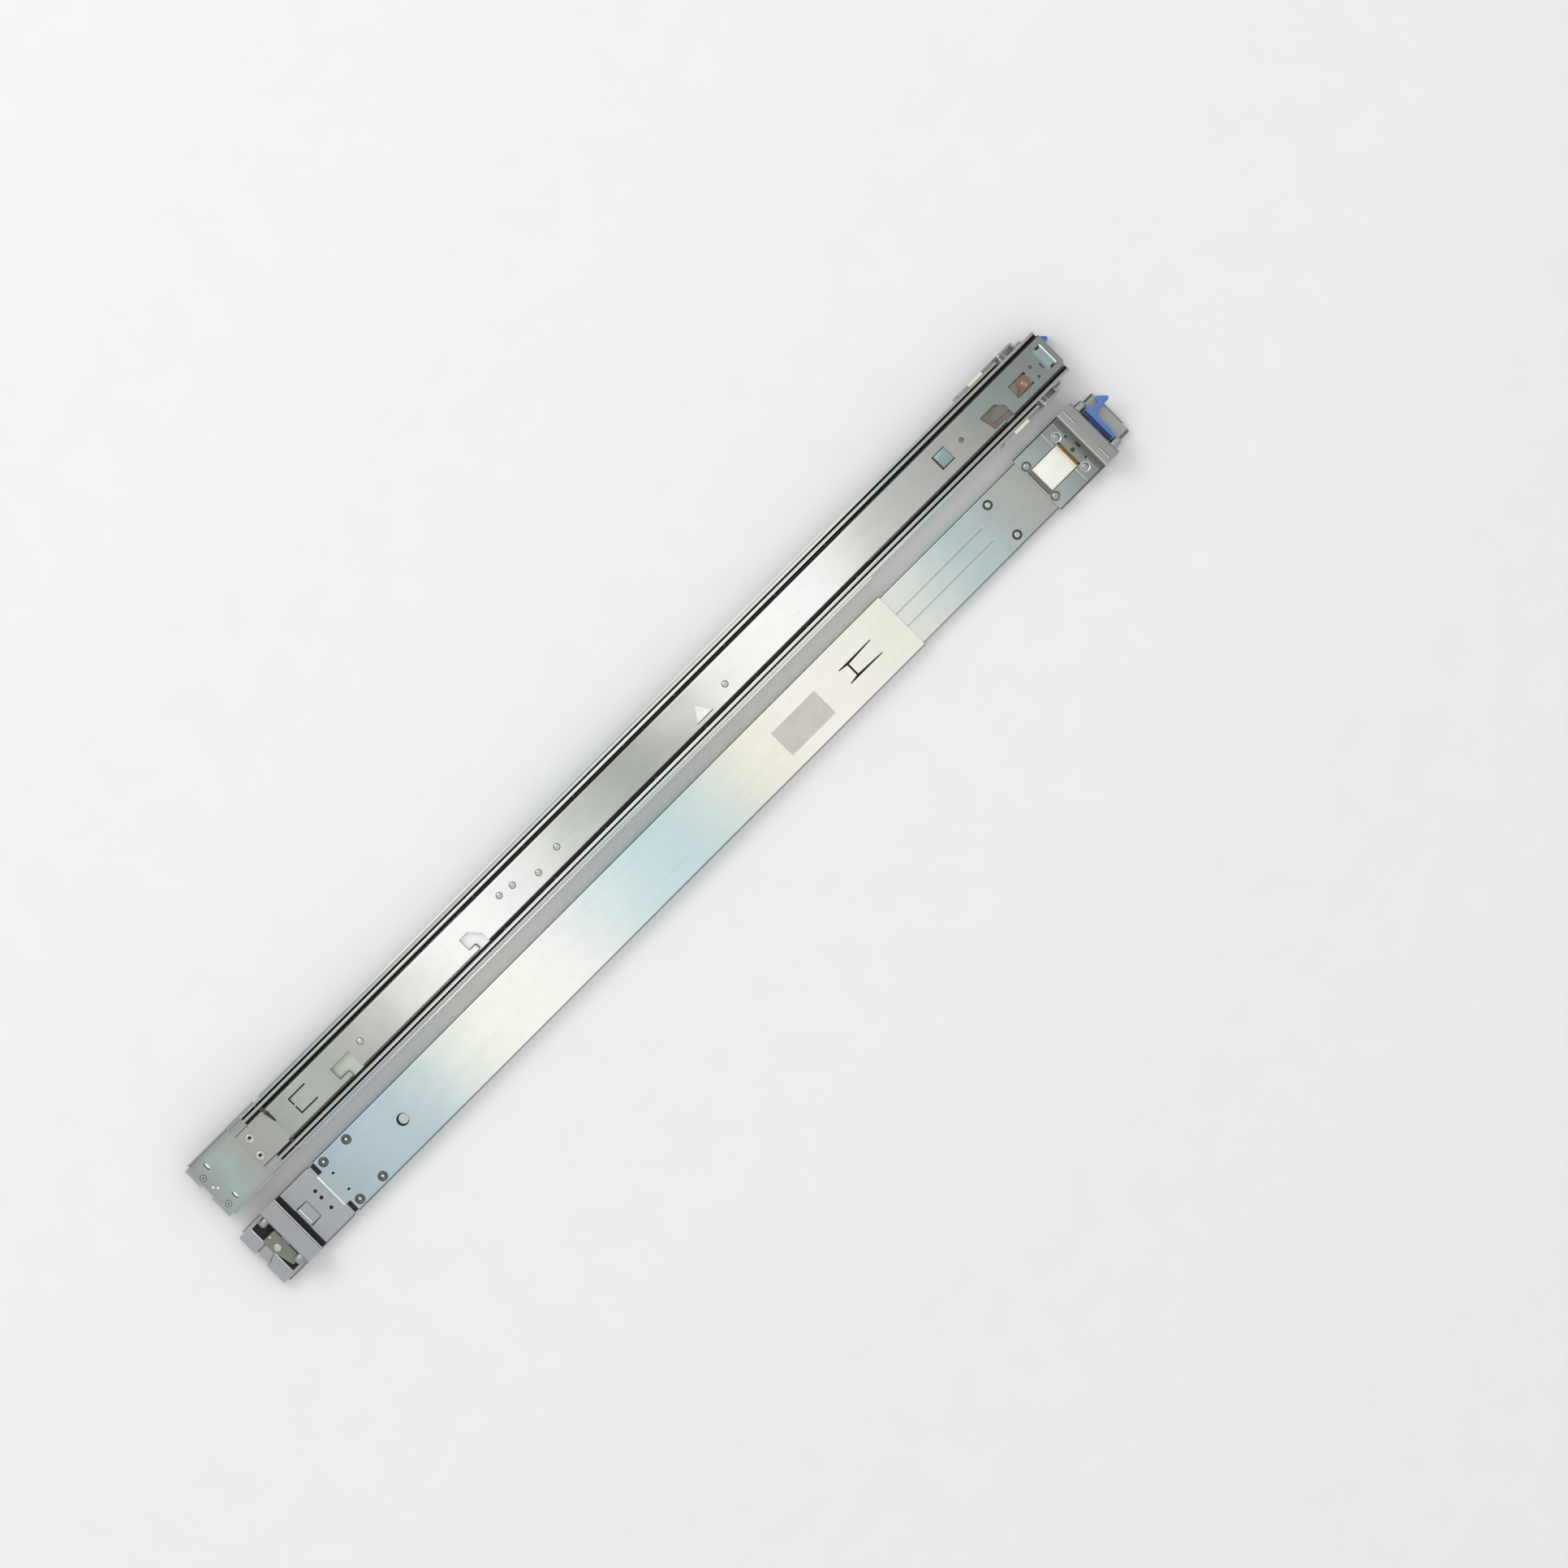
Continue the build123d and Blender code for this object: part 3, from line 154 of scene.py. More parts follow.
def roughened(
    tree: bpy.types.NodeTree, shader: bpy.types.Node, pattern: Any, low: float, high: float
) -> None:
    """Let a pattern move the roughness between two values.

    Args:
        tree: the node tree.
        shader: the shader whose roughness it moves.
        pattern: the pattern's socket.
        low: the roughness where the pattern is lowest.
        high: the roughness where the pattern is highest.
    """
    links = {"Value": pattern, **NOISE_RANGE, "To Min": low, "To Max": high}
    rough = add_node(tree, "ShaderNodeMapRange", {}, links)
    tree.links.new(rough.outputs["Result"], shader.inputs["Roughness"])


def embossed(
    tree: bpy.types.NodeTree, shader: bpy.types.Node, pattern: Any, strength: float, depth_mm: float
) -> None:
    """Raise a pattern on the surface.

    Args:
        tree: the node tree.
        shader: the shader whose normal it turns.
        pattern: the pattern's socket.
        strength: the bump's strength.
        depth_mm: the pattern's real depth in millimetres.
    """
    links = {"Strength": strength, "Distance": depth_mm * MM, "Height": pattern}
    bump = add_node(tree, "ShaderNodeBump", {}, links)
    tree.links.new(bump.outputs["Normal"], shader.inputs["Normal"])


@dataclass(frozen=True)
class Finish:
    """A surface finish that makes its material once."""

    name: str

    def material(self) -> bpy.types.Material:
        """Find the finish's material, or make it at its first use.

        Returns:
            The material.
        """
        found = bpy.data.materials.get(self.name)
        if found:
            return found
        made = bpy.data.materials.new(self.name)
        made.use_nodes = True
        tree = made.node_tree
        tree.nodes.clear()
        shader = add_node(tree, "ShaderNodeBsdfPrincipled")
        add_node(tree, "ShaderNodeOutputMaterial", {}, {"Surface": shader.outputs["BSDF"]})
        self.dress(tree, shader)
        return made

    def dress(self, tree: bpy.types.NodeTree, shader: bpy.types.Node) -> None:
        """Fill the shader's sockets; each finish has its own way."""
        raise NotImplementedError


@dataclass(frozen=True)
class Stain:
    """A round stain on a plated film, placed in millimetres in the frame."""

    x: float
    y: float
    radius: float
    tint: str
    strength: float = 0.85
    edge: float = 0.86


@dataclass(frozen=True)
class PlatedSteel(Finish):
    """Cold rolled strip, zinc plated and clear passivated: a satin metal whose thin
    film tints it pale blue, cream or grey from stretch to stretch, over fine rolling
    lines that run along the strip. The bright and dark stretches are partly the film's
    own colour and partly painted reflection, and the bends take painted shade."""

    tints: tuple[Tint, ...]
    roughness: float = 0.36
    # Rolling lines lie about 0.1 mm apart, too fine to show, and are drawn ten times coarser
    grain_mm: float = 1.1
    line_mm: float = 90.0
    mottle_mm: float = 26.0
    mottle: float = 0.035
    drift: float = 0.25
    # Share of the colour left as painted shade on a bend
    bend_shade: float = 0.5
    stain: Stain | None = None

    def dress(self, tree: bpy.types.NodeTree, shader: bpy.types.Node) -> None:
        """Tint the film, mottle it, paint shade on its bends and draw the rolling lines.

        Args:
            tree: the node tree.
            shader: the material's shader.
        """
        place = add_node(tree, "ShaderNodeTexCoord").outputs["Object"]
        colour = self.stained(tree, place, self.film(tree, place))
        handled = grain(tree, (9.0, 4.0, 4.0))
        lines = grain(tree, (self.line_mm, self.grain_mm, self.grain_mm), 3.0)
        for pattern in (handled, lines):
            colour = toned(tree, colour, pattern, 1.0 - self.mottle)
        tree.links.new(self.shaded_bends(tree, colour), shader.inputs["Base Color"])
        roughened(tree, shader, lines, self.roughness - 0.04, self.roughness + 0.06)
        shader.inputs["Metallic"].default_value = 1.0
        embossed(tree, shader, lines, 0.12, 0.03)

    def film(self, tree: bpy.types.NodeTree, place: Any) -> Any:
        """Tint the film along the rail, painted reflection included; its edges wander by a share of a
        mottle.

        Args:
            tree: the node tree.
            place: the object coordinates.

        Returns:
            The film's colour.
        """
        first, last = self.tints[0][0], self.tints[-1][0]
        along = add_node(tree, "ShaderNodeSeparateXYZ", {}, {"Vector": place}).outputs["X"]
        cloud = grain(tree, (self.mottle_mm * 1.6, self.mottle_mm, self.mottle_mm))
        wander = self.drift * self.mottle_mm * MM
        links = {"Value": cloud, **NOISE_RANGE, "To Min": -wander, "To Max": wander}
        drift = add_node(tree, "ShaderNodeMapRange", {}, links).outputs["Result"]
        moved = add_node(tree, "ShaderNodeMath", {"operation": "ADD"}, {0: along, 1: drift})
        links = {"Value": moved.outputs[0], "From Min": first * MM, "From Max": last * MM}
        station = add_node(tree, "ShaderNodeMapRange", {}, links)
        ramp = add_node(tree, "ShaderNodeValToRGB", {}, {"Fac": station.outputs["Result"]})
        ramp.color_ramp.interpolation = "CARDINAL" if self.drift else "LINEAR"
        stops = ramp.color_ramp.elements
        for x, code in self.tints[1:-1]:
            stops.new((x - first) / (last - first)).color = linear(code)
        stops[0].color = linear(self.tints[0][1])
        stops[-1].color = linear(self.tints[-1][1])
        return ramp.outputs["Color"]

    def shaded_bends(self, tree: bpy.types.NodeTree, colour: Any) -> Any:
        """Paint shade on the film where the strip is bent, halfway between its web and its wall.

        Args:
            tree: the node tree.
            colour: the film's colour.

        Returns:
            The colour, which is unchanged on a flat.
        """
        normal = add_node(tree, "ShaderNodeNewGeometry").outputs["Normal"]
        across = add_node(tree, "ShaderNodeSeparateXYZ", {}, {"Vector": normal}).outputs["Y"]
        times = {"operation": "MULTIPLY"}
        wall = add_node(tree, "ShaderNodeMath", times, {0: across, 1: across}).outputs[0]
        web = add_node(tree, "ShaderNodeMath", {"operation": "SUBTRACT"}, {0: 1.0, 1: wall}).outputs[0]
        both = add_node(tree, "ShaderNodeMath", times, {0: wall, 1: web}).outputs[0]
        links = {"Value": both, "From Min": 0.02, "From Max": 0.18, "To Min": 1.0, "To Max": self.bend_shade}
        share = add_node(tree, "ShaderNodeMapRange", {}, links).outputs["Result"]
        return add_node(tree, "ShaderNodeMix", MULTIPLY, {0: 1.0, 6: colour, 7: share}).outputs[2]

    def stained(self, tree: bpy.types.NodeTree, place: Any, colour: Any) -> Any:
        """Brown the zinc round a staked rivet.

        Args:
            tree: the node tree.
            place: the object coordinates.
            colour: the film's colour.

        Returns:
            The colour, stained where the finish has a stain.
        """
        if self.stain is None:
            return colour
        stain, radius = self.stain, self.stain.radius * MM
        flat = add_node(
            tree, "ShaderNodeVectorMath", {"operation": "MULTIPLY"}, {0: place, 1: (1.0, 1.0, 0.0)}
        )
        links = {0: flat.outputs[0], 1: (stain.x * MM, stain.y * MM, 0.0)}
        reach = add_node(tree, "ShaderNodeVectorMath", {"operation": "DISTANCE"}, links).outputs["Value"]
        links = {
            "Value": reach, "From Min": stain.edge * radius, "From Max": radius,
            "To Min": stain.strength, "To Max": 0.0,
        }
        share = add_node(tree, "ShaderNodeMapRange", {}, links).outputs["Result"]
        links = {0: share, 6: colour, 7: linear(stain.tint)}
        return add_node(tree, "ShaderNodeMix", {"data_type": "RGBA"}, links).outputs[2]


@dataclass(frozen=True)
class BrightMetal(Finish):
    """Nickel, copper or polished steel: a plain bright metal with faint wear that
    breaks its highlight."""

    colour: str
    roughness: float = 0.2
    wear_mm: float = 1.2

    def dress(self, tree: bpy.types.NodeTree, shader: bpy.types.Node) -> None:
        """Give the metal its colour and its worn gloss.

        Args:
            tree: the node tree.
            shader: the material's shader.
        """
        worn = grain(tree, (self.wear_mm, self.wear_mm, self.wear_mm), 3.0)
        tree.links.new(toned(tree, linear(self.colour), worn, 0.86), shader.inputs["Base Color"])
        roughened(tree, shader, worn, self.roughness * 0.7, self.roughness * 1.4)
        shader.inputs["Metallic"].default_value = 1.0


@dataclass(frozen=True)
class Moulded(Finish):
    """Injection moulded plastic or rubber: an even colour with a fine spark-eroded
    texture that softens its gloss."""

    colour: str
    roughness: float = 0.45
    # Spark erosion leaves pits of about 0.05 mm, too fine to show, and they are drawn coarser
    texture_mm: float = 0.6

    def dress(self, tree: bpy.types.NodeTree, shader: bpy.types.Node) -> None:
        """Colour the plastic and texture it.

        Args:
            tree: the node tree.
            shader: the material's shader.
        """
        flow = grain(tree, (14.0, 9.0, 9.0))
        tree.links.new(toned(tree, linear(self.colour), flow, 0.93), shader.inputs["Base Color"])
        pits = grain(tree, (self.texture_mm, self.texture_mm, self.texture_mm), 3.0)
        roughened(tree, shader, pits, self.roughness - 0.06, self.roughness + 0.06)
        embossed(tree, shader, pits, 0.15, 0.05)


@dataclass(frozen=True)
class LabelStock(Finish):
    """Satin polyester label stock: pale, with faint fibres and handling smudges."""

    colour: str

    def dress(self, tree: bpy.types.NodeTree, shader: bpy.types.Node) -> None:
        """Colour the stock, smudge it and give it its satin.

        Args:
            tree: the node tree.
            shader: the material's shader.
        """
        smudged = toned(tree, linear(self.colour), grain(tree, (11.0, 7.0, 7.0), 3.0), 0.9)
        colour = toned(tree, smudged, grain(tree, (2.5, 0.8, 0.8)), 0.95)
        tree.links.new(colour, shader.inputs["Base Color"])
        shader.inputs["Roughness"].default_value = 0.6


@dataclass(frozen=True)
class Paper(Finish):
    """Matt background paper with a barely seen tooth."""

    colour: str

    def dress(self, tree: bpy.types.NodeTree, shader: bpy.types.Node) -> None:
        """Colour the paper and keep it matt.

        Args:
            tree: the node tree.
            shader: the material's shader.
        """
        tooth = grain(tree, (30.0, 30.0, 30.0))
        tree.links.new(toned(tree, linear(self.colour), tooth, 0.985), shader.inputs["Base Color"])
        shader.inputs["Roughness"].default_value = 0.9
        shader.inputs["Specular IOR Level"].default_value = 0.1


# Passivated zinc on a long rolled channel: slow clouds of pale blue and cream, partly the film's own colour
# and partly painted reflection
CHANNEL = PlatedSteel(
    "zinc_plated_channel_strip",
    (
        (-330.0, "#A8B4B6"), (-290.0, "#B0C2C8"), (-235.0, "#C4D2D4"), (-185.0, "#ECF0E6"),
        (-115.0, "#F2F2EE"), (-60.0, "#D4E4E4"), (5.0, "#C8DADA"), (60.0, "#E8E8DC"),
        (110.0, "#F2F0E8"), (196.0, "#E8E8DC"),
    ),
    bend_shade=0.35,
)
# The same plate on the outer member, which greys towards its front end, partly from handling and partly as
# painted reflection
MEMBER = PlatedSteel(
    "zinc_plated_outer_strip",
    (
        (-340.0, "#A4A8A4"), (150.0, "#DCE0DA"), (200.0, "#DADED6"), (240.0, "#BCCACA"),
        (270.0, "#B0BCBC"), (305.0, "#A8ABA4"), (350.0, "#9C9E98"),
    ),
)
# Handled zinc: silver in the middle and dull grey at both ends, partly from handling and partly as painted
# reflection, and browned round the staked rivet
INNER = PlatedSteel(
    "zinc_plated_inner_strip",
    (
        (-312.0, "#A0A49E"), (-290.0, "#AEB3AE"), (-262.0, "#AEB2AC"), (-225.0, "#C2C5BE"),
        (-172.0, "#EEEEEA"), (-115.0, "#F1F1EF"), (-65.0, "#D4D7D2"), (-10.0, "#AFB4AF"),
        (30.0, "#BABCB8"), (75.0, "#EAEAE6"), (165.0, "#F2F2F0"), (215.0, "#CACBC5"),
        (270.0, "#B0B1AD"), (300.0, "#A2A49F"), (335.0, "#889290"), (378.0, "#868886"),
    ),
    roughness=0.4,
    stain=Stain(349.9, 24.45, 5.5, "#7A6856"),
)
# Zinc brighter than the members on both sides of it, partly rubbed by the balls and partly painted
# reflection
MIDDLE = PlatedSteel(
    "zinc_plated_middle_strip",
    (
        (-340.0, "#A4A6A0"), (-300.0, "#B2B6B0"), (-257.0, "#C0C6BC"), (-150.0, "#F4F4F2"),
        (-20.0, "#EEEEEC"), (60.0, "#F2F2F0"), (150.0, "#E2E2DE"), (250.0, "#AAACA8"),
        (380.0, "#A0A2A0"),
    ),
)
# Zinc on a small stamping: an even, cool grey
REAR_BRACKET = PlatedSteel(
    "zinc_plated_rear_bracket",
    ((-384.0, "#A2A5A9"), (-350.0, "#A2A6A9"), (-318.0, "#A8AEB0"), (-280.0, "#AAB2B4")),
)
# Zinc on deep folds, painted with light and shade: each step of the bracket has its own grey as painted
# shade, and one edge a painted highlight
FRONT_BRACKET = PlatedSteel(
    "zinc_plated_front_bracket",
    (
        (308.0, "#A8AEAC"), (320.0, "#A0ACAA"), (331.0, "#949C9E"), (338.0, "#8C9490"),
        # From 346 to 349.4 the grey is painted shade in the fold's corner; at 350.2 a painted highlight on
        # the fold's bend
        (344.0, "#888E8C"), (346.0, "#747876"), (349.4, "#6E706E"), (350.2, "#DADAD2"),
        (351.4, "#A0A09C"), (356.0, "#969896"), (364.0, "#949592"),
    ),
    drift=0.0,
)
# Zinc on a thin cover: a dull grey with a green cast
COVER = PlatedSteel(
    "zinc_plated_inner_cover",
    ((-380.0, "#9A9C9A"), (-362.0, "#A2AFAC"), (-345.0, "#A4AAA4"), (-310.0, "#A0A29C")),
)
# Olive passivate on hardened steel: a dull, warm green grey
PAWL = PlatedSteel("olive_passivated_pawl_steel", ((-384.0, "#808478"), (384.0, "#7C7A70")), roughness=0.42)
# Oiled steel strip, darkened nearly black also as painted shade of the gaps it lies in, with a soft sheen
CAGE = PlatedSteel("oiled_cage_strip_and_shade", ((-384.0, "#4A4A48"), (384.0, "#4A4A48")), roughness=0.5)
# Barrel plated rivets: a small bright highlight, broken by tumbling marks
RIVET = BrightMetal("zinc_plated_rivet", "#C4C6C2", 0.3)
# Rivet heads that the press has dulled: mid grey, with a wider highlight
DULLED = BrightMetal("dulled_zinc_rivet", "#A8ACAC", 0.38)
# Painted highlight: a near white zinc for bright lines on edges, crests and floors, bright from any side
HIGHLIGHT_WHITE = BrightMetal("painted_highlight_zinc", "#F6F6F2", 0.25)
# Painted shade: a dark grey line round cuts, grooves, rivets and gaps
SHADE_LINE = BrightMetal("painted_shade_line_steel", "#4E504C", 0.5)
# Zinc in the shade of a fold: a soft, darker grey
FOLD = BrightMetal("shaded_zinc_fold", "#85888A", 0.45, 3.0)
# Phosphor bronze leaf: brown gold
BRONZE = BrightMetal("bronze_leaf_spring", "#7A6236", 0.35, 2.5)
# Zinc browned by grease: a warm grey, which in the slide block's window also serves as painted shade
GUIDE = BrightMetal("browned_guide_plate_and_shade", "#7E766E", 0.45, 3.5)
# Steel browned by the heat of staking: a dull copper brown
HEATED = BrightMetal("heat_browned_lever_seat", "#92705E", 0.4, 2.0)
# Blue passivate that a window has kept clean: a clear blue grey
RECESS = BrightMetal("blue_passivated_recess", "#93A6A8", 0.35, 4.0)
# Nickel plate on a turned pin: a cool, close highlight
PIN = BrightMetal("nickel_plated_pin", "#A4A8AC", 0.25)
# Drawn spring wire: a fine, streaky grey
WIRE = BrightMetal("drawn_spring_wire", "#8C8C88", 0.3, 0.5)
# Hardened balls under oil, made dark also as painted shade of the gaps: each with a point of light
BALL = BrightMetal("oiled_ball_steel_and_shade", "#4A4B4E", 0.12)
# Copper plate on a turned rivet: a pink metal
COPPER = BrightMetal("copper_plated_rivet", "#B08072", 0.3)
# Natural acetal: a slippery, faintly warm white
WHITE = Moulded("acetal_slide_block", "#F8F7EC", 0.42)
# Aged acetal: creamier, with the same soft sheen
CREAM = Moulded("acetal_side_glide", "#E8E0C8", 0.42)
# Pigmented nylon: an even blue with a small soft highlight
BLUE = Moulded("blue_moulded_nylon", "#5076BA", 0.34)
# Painted shade: the blue nylon made deep navy where the latch's root lies in shade
NAVY = Moulded("blue_nylon_painted_shade", "#0C1E58", 0.45)
# Black rubber: dull, with hardly a highlight
RUBBER = Moulded("black_rubber", "#17171A", 0.6)
# Painted shade: a near black that stands for the shade of deep holes, windows, gaps and race floors
SHADE_BLACK = Moulded("painted_shade_black", "#0C0C0E", 0.7)
# Printable polyester: a matt, warm grey
LABEL = LabelStock("satin_label_stock", "#D0CAC4")
# Studio paper: a white that stays matt at every angle
PAPER = Paper("white_studio_paper", "#F0F0F0")

# The finish of each solid that the frame gives for a rail
SOLID_FINISHES: dict[str, Finish] = {
    "rear_channel": CHANNEL,
    "rear_bracket": REAR_BRACKET,
    "rear_bracket_rivets": RIVET,
    "rear_pins": PIN,
    "rear_pawl": PAWL,
    "rear_pawl_rivet": RIVET,
    "outer_member": MEMBER,
    "front_bracket": FRONT_BRACKET,
    "front_bracket_rivets": RIVET,
    "front_pins": PIN,
    "slide_block": WHITE,
    "side_glides": CREAM,
    "front_latch": BLUE,
    "front_latch_pin": RIVET,
    "front_latch_spring": WIRE,
    "intermediate_member": MIDDLE,
    "rear_bumper": RUBBER,
    "outer_ball_cage": CAGE,
    "outer_balls": BALL,
    "inner_member": INNER,
    "inner_member_rivets": RIVET,
    "inner_ball_cage": CAGE,
    "inner_balls": BALL,
    "lock_lever": PAWL,
    "lock_lever_rivet": COPPER,
    "label": LABEL,
}


class Hand(Enum):
    """Which rail of the pair."""

    LEFT = "left"
    RIGHT = "right"


class Axis(Enum):
    """What a profile is turned about."""

    DEPTH = (0, 0, 1)
    ALONG = (1, 0, 0)


@dataclass(frozen=True)
class Lay:
    """How one rail lies: its own millimetres (along, across, depth) in the frame's metres."""

    hand: Hand
    web_depth: float = 2.2

    def matrix(self) -> Matrix:
        """Find the matrix from the rail's millimetres to the frame.

        Returns:
            A matrix that has a negative scale for the right rail, which lies face down.
        """
        low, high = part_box(self.node("outer_member"))
        up = 1.0 if self.hand is Hand.LEFT else -1.0
        web = low.z if self.hand is Hand.LEFT else high.z
        origin = Vector((0.0, (low.y + high.y) / 2, web - up * self.web_depth * MM))
        return Matrix.Translation(origin) @ Matrix.Diagonal((MM, MM, up * MM, 1.0))

    def node(self, name: str) -> str:
        """Return a piece's or body's full name."""
        return f"{self.hand.value}_{name}"

    def span(self, name: str) -> Span:
        """Return where a solid starts and ends along the rail, in millimetres."""
        low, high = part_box(self.node(name))
        return low.x / MM, high.x / MM


def disc(radius: float, low: float, high: float) -> list[Point]:
    """Return the profile of a plain disc between two depths."""
    return [(0, low), (radius, low), (radius, high), (0, high)]


def collar(inner: float, outer: float, low: float, high: float) -> list[Point]:
    """Return the closed profile of a square collar between two depths."""
    return [(inner, low), (outer, low), (outer, high), (inner, high), (inner, low)]


def pair(x: float, y: float) -> list[Point]:
    """Return two places on both sides of the rail's middle."""
    return [(x, -y), (x, y)]


def beyond(base: float, span: Span) -> Span:
    """Return a span that is measured from a base, along the rail."""
    return base + span[0], base + span[1]


@dataclass
class Work:
    """One piece under the tools: a bmesh in the rail's own millimetres."""

    lay: Lay
    name: str
    bm: bmesh.types.BMesh = field(default_factory=bmesh.new)

    def turned(
        self,
        profile: Sequence[Point],
        at: tuple[float, float, float],
        axis: Axis = Axis.DEPTH,
        steps: int = 32,
    ) -> None:
        """Spin a profile of (radius, height) points about an axis.

        Args:
            profile: the points, whose first and last lie on the axis on a closed piece.
            at: the point that the profile's zero lies on.
            axis: what it turns about.
            steps: the number of facets round.
        """
        centre = Vector(at)
        verts = []
        for radius, height in profile:
            out = (radius, 0, height) if axis is Axis.DEPTH else (height, radius, 0)
            verts.append(self.bm.verts.new(centre + Vector(out)))
        edges = [self.bm.edges.new(ends) for ends in zip(verts, verts[1:])]
        bmesh.ops.spin(
            self.bm, geom=verts + edges, cent=centre, axis=axis.value, angle=2 * math.pi, steps=steps,
            use_merge=True,
        )

    def ring(self, profile: Sequence[Point], places: Iterable[Point], steps: int = 32) -> None:
        """Turn the same profile at several places.

        Args:
            profile: the (radius, depth) points.
            places: where, along and across the rail.
            steps: the number of facets round.
        """
        for x, y in places:
            self.turned(profile, (x, y, 0.0), steps=steps)

    def plate(self, outline: Sequence[Point], low: float, high: float, bevel: float = 0.0) -> None:
        """Raise an outline between two depths and bevel its edges.

        Args:
            outline: the corners, along and across the rail.
            low: the first depth.
            high: the second depth.
            bevel: the bevel's width.
        """
        made = bmesh.new()
        face = made.faces.new([made.verts.new((x, y, low)) for x, y in outline])
        raised = bmesh.ops.extrude_face_region(made, geom=[face])["geom"]
        moved = [item for item in raised if isinstance(item, bmesh.types.BMVert)]
        bmesh.ops.translate(made, vec=(0, 0, high - low), verts=moved)
        bmesh.ops.recalc_face_normals(made, faces=made.faces)
        if bevel:
            bmesh.ops.bevel(
                made, geom=made.edges[:], offset=bevel, offset_type="OFFSET", affect="EDGES",
                segments=BEVEL_SEGMENTS, profile=0.5, material=-1, clamp_overlap=True,
            )
        self.join(made)

    def bar(
        self, along: Span, across: Span, low: float, high: float, bevel: float = 0.0, mirrored: bool = False
    ) -> None:
        """Raise a rectangle between two depths.

        Args:
            along: its two ends along the rail.
            across: its two edges across the rail.
            low: the first depth.
            high: the second depth.
            bevel: the bevel's width.
            mirrored: whether its twin stands on the other side of the rail's middle.
        """
        (x0, x1), (y0, y1) = along, across
        for side in (1, -1) if mirrored else (1,):
            outline = [(x0, side * y0), (x1, side * y0), (x1, side * y1), (x0, side * y1)]
            self.plate(outline, low, high, bevel)

    def oval(self, middle: Point, halves: Point, low: float, high: float) -> None:
        """Raise an oval between two depths.

        Args:
            middle: its middle, along and across the rail.
            halves: its half sizes, along and across the rail.
            low: the first depth.
            high: the second depth.
        """
        (x, y), (along, across) = middle, halves
        turns = [i * math.pi / 12 for i in range(24)]
        self.plate([(x + along * math.cos(t), y + across * math.sin(t)) for t in turns], low, high)

    def sphere(self, at: tuple[float, float, float], radius: float) -> None:
        """Add a ball of 80 faces."""
        bmesh.ops.create_icosphere(self.bm, subdivisions=2, radius=radius, matrix=Matrix.Translation(at))

    def coil(
        self, at: tuple[float, float, float], radius: float, wire: float, turns: float, length: float
    ) -> None:
        """Wind a wire about the across axis.

        Args:
            at: where the coil's axis starts.
            radius: the coil's radius to the wire's middle.
            wire: the wire's radius.
            turns: the number of turns.
            length: the coil's length.
        """
        place = Matrix.Translation(Vector(at) + Vector((radius, 0, 0)))
        made = bmesh.ops.create_circle(self.bm, cap_ends=True, segments=10, radius=wire, matrix=place)
        geom = made["verts"] + [edge for edge in self.bm.edges if edge.verts[0] in made["verts"]]
        geom += [face for face in self.bm.faces if face.verts[0] in made["verts"]]
        steps = int(turns * 20)
        rise = Vector((0, length / steps, 0))
        bmesh.ops.spin(
            self.bm, geom=geom, cent=Vector(at), axis=(0, 1, 0), dvec=rise, angle=turns * 2 * math.pi,
            steps=steps,
        )

    def join(self, other: bmesh.types.BMesh) -> None:
        """Take another bmesh's shape into this one and free it.

        Args:
            other: the bmesh to take in.
        """
        mesh = bpy.data.meshes.new("part")
        other.to_mesh(mesh)
        other.free()
        self.bm.from_mesh(mesh)
        bpy.data.meshes.remove(mesh)

    def finished(
        self, finish: Finish, body: str, replaced: Iterable[str] = (), angle: float = 35.0
    ) -> bpy.types.Object:
        """Lay the piece in the frame and hand it over.

        Args:
            finish: its finish.
            body: the rail's body that it rides on.
            replaced: the rail's solids that it stands for.
            angle: edges sharper than this stay sharp, in degrees.

        Returns:
            The piece's object.
        """
        bmesh.ops.remove_doubles(self.bm, verts=self.bm.verts, dist=0.001)
        bmesh.ops.transform(self.bm, matrix=self.lay.matrix(), verts=self.bm.verts)
        bmesh.ops.recalc_face_normals(self.bm, faces=self.bm.faces)
        mesh = bpy.data.meshes.new(self.lay.node(self.name))
        self.bm.to_mesh(mesh)
        self.bm.free()
        mesh.shade_smooth()
        mesh.set_sharp_from_angle(angle=math.radians(angle))
        mesh.materials.append(finish.material())
        made = bpy.data.objects.new(mesh.name, mesh)
        bpy.context.scene.collection.objects.link(made)
        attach(made, body if body == "rails" else self.lay.node(body))
        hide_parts(*[self.lay.node(name) for name in replaced])
        LOG.info("%s: %d faces", made.name, len(mesh.polygons))
        return made


@dataclass
class Solids:
    """The frame's own solids, each in its finish."""

    lay: Lay

    def dress(self, nodes: dict[str, bpy.types.Object]) -> None:
        """Give each of the rail's solids its finish.

        Args:
            nodes: the frame's objects by name.
        """
        for name, finish in SOLID_FINISHES.items():
            found = nodes.get(self.lay.node(name))
            if found is None:
                continue
            found.data.materials.clear()
            found.data.materials.append(finish.material())
            LOG.info("%s: %s", found.name, finish.name)


